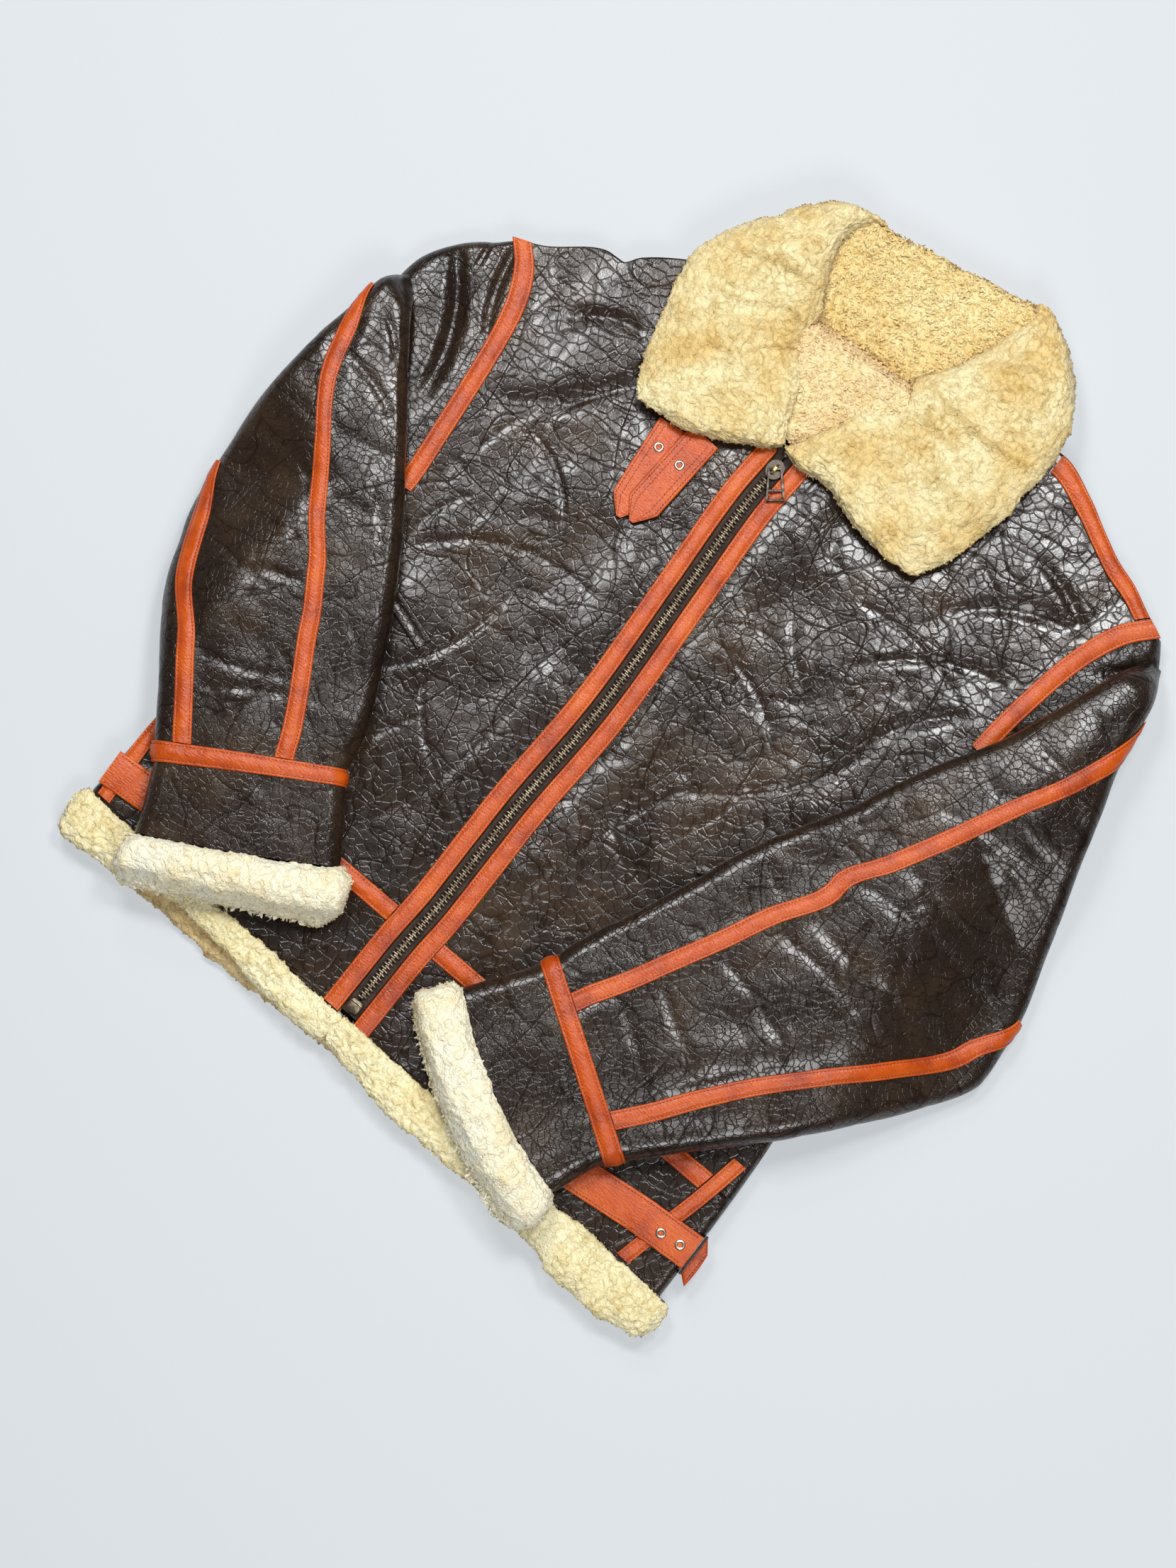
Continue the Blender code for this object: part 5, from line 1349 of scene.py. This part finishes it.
def lobe_grid(table, rows, columns):
    lobe = flow(table, np.linspace(0, 12, rows)[:, None])
    turns = np.concatenate([np.linspace(0, 0.80, columns), np.linspace(0.83, 1, 8)])[None, :]
    lip = flow(LOBE_SECTION, turns)
    x = lobe.inner_x + (lobe.outer_x - lobe.inner_x) * lip.part
    y = lobe.inner_y + (lobe.outer_y - lobe.inner_y) * lip.part
    rest = rest_height(x, y)
    return stack(x, y, rest + (REST_TOP + lobe.thick - rest) * lip.high)


SKIN_DEPTH = np.array([0, 0, 6.0])
for side_name, table, outward, seed, area in (
    ("right", RIGHT_LOBE, -1.0, 81, 0.0165), ("left", LEFT_LOBE, 1.0, 82, 0.0195),
):
    grid = lobe_grid(table, 200, 118)
    parting = creased(grid[..., 0], grid[..., 1], COLLAR_PARTINGS)
    # Painted shade: the lobe wool is darkened along its partings.
    made = fleece(
        "collar_fleece_" + side_name, grid, outward, collar_wool, "collar_lobe_" + side_name,
        seed, rise=3.3, lock=4.6, hollow_shade=1 - 0.24 * parting, sunk=parting,
    )
    skin = grid[5:-5:10, 14:84:7] - SKIN_DEPTH
    backing("collar_skin_" + side_name, skin)


def between_lobes(rows, tops, low, high, margin, count):
    """A grid between the two lobes, from one row of the collar to another."""
    step = np.linspace(low, high, rows)[:, None]
    right, left = flow(RIGHT_LOBE, step), flow(LEFT_LOBE, step)
    part = np.linspace(0, 1, count)[None, :]
    x = right.inner_x - margin + (left.inner_x - right.inner_x + 2 * margin) * part
    y = right.inner_y + (left.inner_y - right.inner_y) * part
    z = np.interp(step, *tops)
    hollow = 1 - (2 * part - 1) ** 2
    return stack(x, y, z - 2.0 * hollow)


back_grid = between_lobes(
    88, ((6, 6.3, 7, 8, 9, 10, 10.8, 11.5, 12), (24, 30, 34, 36, 39, 43, 44, 39, 27)), 6, 12, 5.0, 104,
)
rim = back_grid[-1:].repeat(6, 0)
rim[:, :, 2] = np.linspace(24, 3, 6)[:, None]
back_grid = np.concatenate([back_grid, rim], 0)
row = np.clip(np.linspace(6, 12.4, len(back_grid)), 6, 12)[:, None]
part = np.linspace(0, 1, 104)[None, :]
# Painted shade: the collar back is darkened along its neck seam and in the hollows at its two ends.
hollow_shade = 1 - 0.5 * np.exp(-(((row - 6) / 0.3) ** 2))
hollow_shade = hollow_shade - 0.45 * np.exp(-((part / 0.16) ** 2) - ((row - 9.6) / 1.3) ** 2)
hollow_shade = hollow_shade - 0.4 * np.exp(-(((1 - part) / 0.2) ** 2) - ((row - 8.4) / 1.6) ** 2)
made = fleece(
    "collar_back_fleece", back_grid, -1.0, inner_wool, "collar_back", 85,
    tuft=6.5, rise=2.9, hollow_shade=hollow_shade,
)
backing("collar_back_skin", back_grid[3:84:7, 5:-5:7] - SKIN_DEPTH)
lining_grid = between_lobes(80, ((0, 1, 2, 4, 5.5, 6), (26, 33, 37, 41, 40, 28)), 0.5, 6.0, 6.0, 80)
# Painted shade: the neck wool is darkened along its seam with the back of the collar.
made = fleece(
    "neck_fleece", lining_grid, -1.0, neck_wool, "neck_lining", 86,
    tuft=6.0, rise=2.2, lock=3.6,
    hollow_shade=1 - 0.5 * np.exp(-(((np.linspace(0.5, 6, 80)[:, None] - 6) / 0.3) ** 2)),
)
backing("neck_skin", lining_grid[3:-3:7, 4:-4:7] - np.array([0, 0, 5.0]))

# Stitches
# All the orange leather is sewn with rust-coloured thread in rows of short, slightly sunken stitches,
# about eight to the inch.

STITCH_GAP, HALF_STITCH = 3.1, 1.15
stitches = []
for line in stitch_places:
    spots, way = resampled(line, STITCH_GAP)
    side = unit(np.cross(way, np.array([0, 0, 1.0])))
    up = np.cross(side, way)
    rings = []
    for part, wide in ((-1, 0.15), (0, 0.42), (1, 0.15)):
        ring = []
        for turn in range(5):
            angle = 2 * math.pi * turn / 4
            out = side * math.cos(angle) + up * math.sin(angle)
            ring.append(spots + way * (HALF_STITCH * part) + out * wide + up * 0.12)
        rings.append(np.stack(ring, 1))
    stitches.append(np.stack(rings, 1))
cloth("seam_stitches", stitches, thread, "")

# Floor, light and camera
# The jacket lies on a plain pale ground under soft light, seen from almost straight above and turned
# as it was laid.

floor_mesh = bpy.data.meshes.new("floor")
floor_mesh.from_pydata([(-4, -4, 0), (4, -4, 0), (4, 4, 0), (-4, 4, 0)], [], [(0, 1, 2, 3)])
floor = bpy.data.objects.new("floor", floor_mesh)
bpy.context.scene.collection.objects.link(floor)
pale, pale_tree, pale_shader = plain_surface("pale_ground", (0.30, 0.31, 0.32), 0.9)
fed(pale_tree, pale_shader, {"Emission Color": (0.88, 0.94, 1.0, 1.0), "Emission Strength": 0.457})
floor_mesh.materials.append(pale)
floor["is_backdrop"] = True

world = bpy.data.worlds.new("studio")
world.use_nodes = True
sockets = {"Color": (0.93, 0.97, 1.0, 1.0), "Strength": 0.11}
fed(world.node_tree, world.node_tree.nodes["Background"], sockets)
bpy.context.scene.world = world
bpy.context.scene.view_settings.view_transform = "Standard"

# The picture is turned by this much from the jacket's own upright.
LEAN = math.radians(37.7)
right_way = Vector((math.cos(LEAN), math.sin(LEAN), 0))
up_way = Vector((-math.sin(LEAN), math.cos(LEAN), 0))


def lamp(name, up, right, high, size, power):
    """A round soft lamp, placed by the top and the right side of the picture and turned to the jacket."""
    light = bpy.data.lights.new(name, "AREA")
    light.shape = "DISK"
    light.size = size
    light.energy = power
    made = bpy.data.objects.new(name, light)
    place = up_way * up + right_way * right + Vector((0, 0, high))
    made.location = place
    made.rotation_euler = (-place).to_track_quat("-Z", "Y").to_euler()
    bpy.context.scene.collection.objects.link(made)


lamp("overhead_light", up=1.15, right=-0.5, high=2.35, size=0.7, power=28)
lamp("top_light", up=1.9, right=-0.5, high=1.9, size=0.7, power=8)
lamp("right_light", up=0.8, right=0.65, high=2.4, size=0.6, power=30)
lamp("low_light", up=-1.4, right=0.3, high=2.1, size=0.9, power=23)

centre = Vector((0.002, -0.103, 0.02))
tilt = math.radians(6.0)
DISTANCE, SEEN_HEIGHT, SENSOR = 3.2, 1.294, 36
camera_data = bpy.data.cameras.new("photo_camera")
camera_data.lens = SENSOR * DISTANCE / SEEN_HEIGHT
camera_data.sensor_width = SENSOR
camera = bpy.data.objects.new("photo_camera", camera_data)
back_way = Vector((0, 0, math.cos(tilt))) - up_way * math.sin(tilt)
camera.location = centre + back_way * DISTANCE
forward = -back_way
across_way = forward.cross(up_way).normalized()
camera.rotation_mode = "QUATERNION"
lifted = across_way.cross(forward).normalized()
camera.rotation_quaternion = Matrix((across_way, lifted, back_way)).transposed().to_quaternion()
bpy.context.scene.collection.objects.link(camera)
bpy.context.scene.camera = camera

low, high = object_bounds()
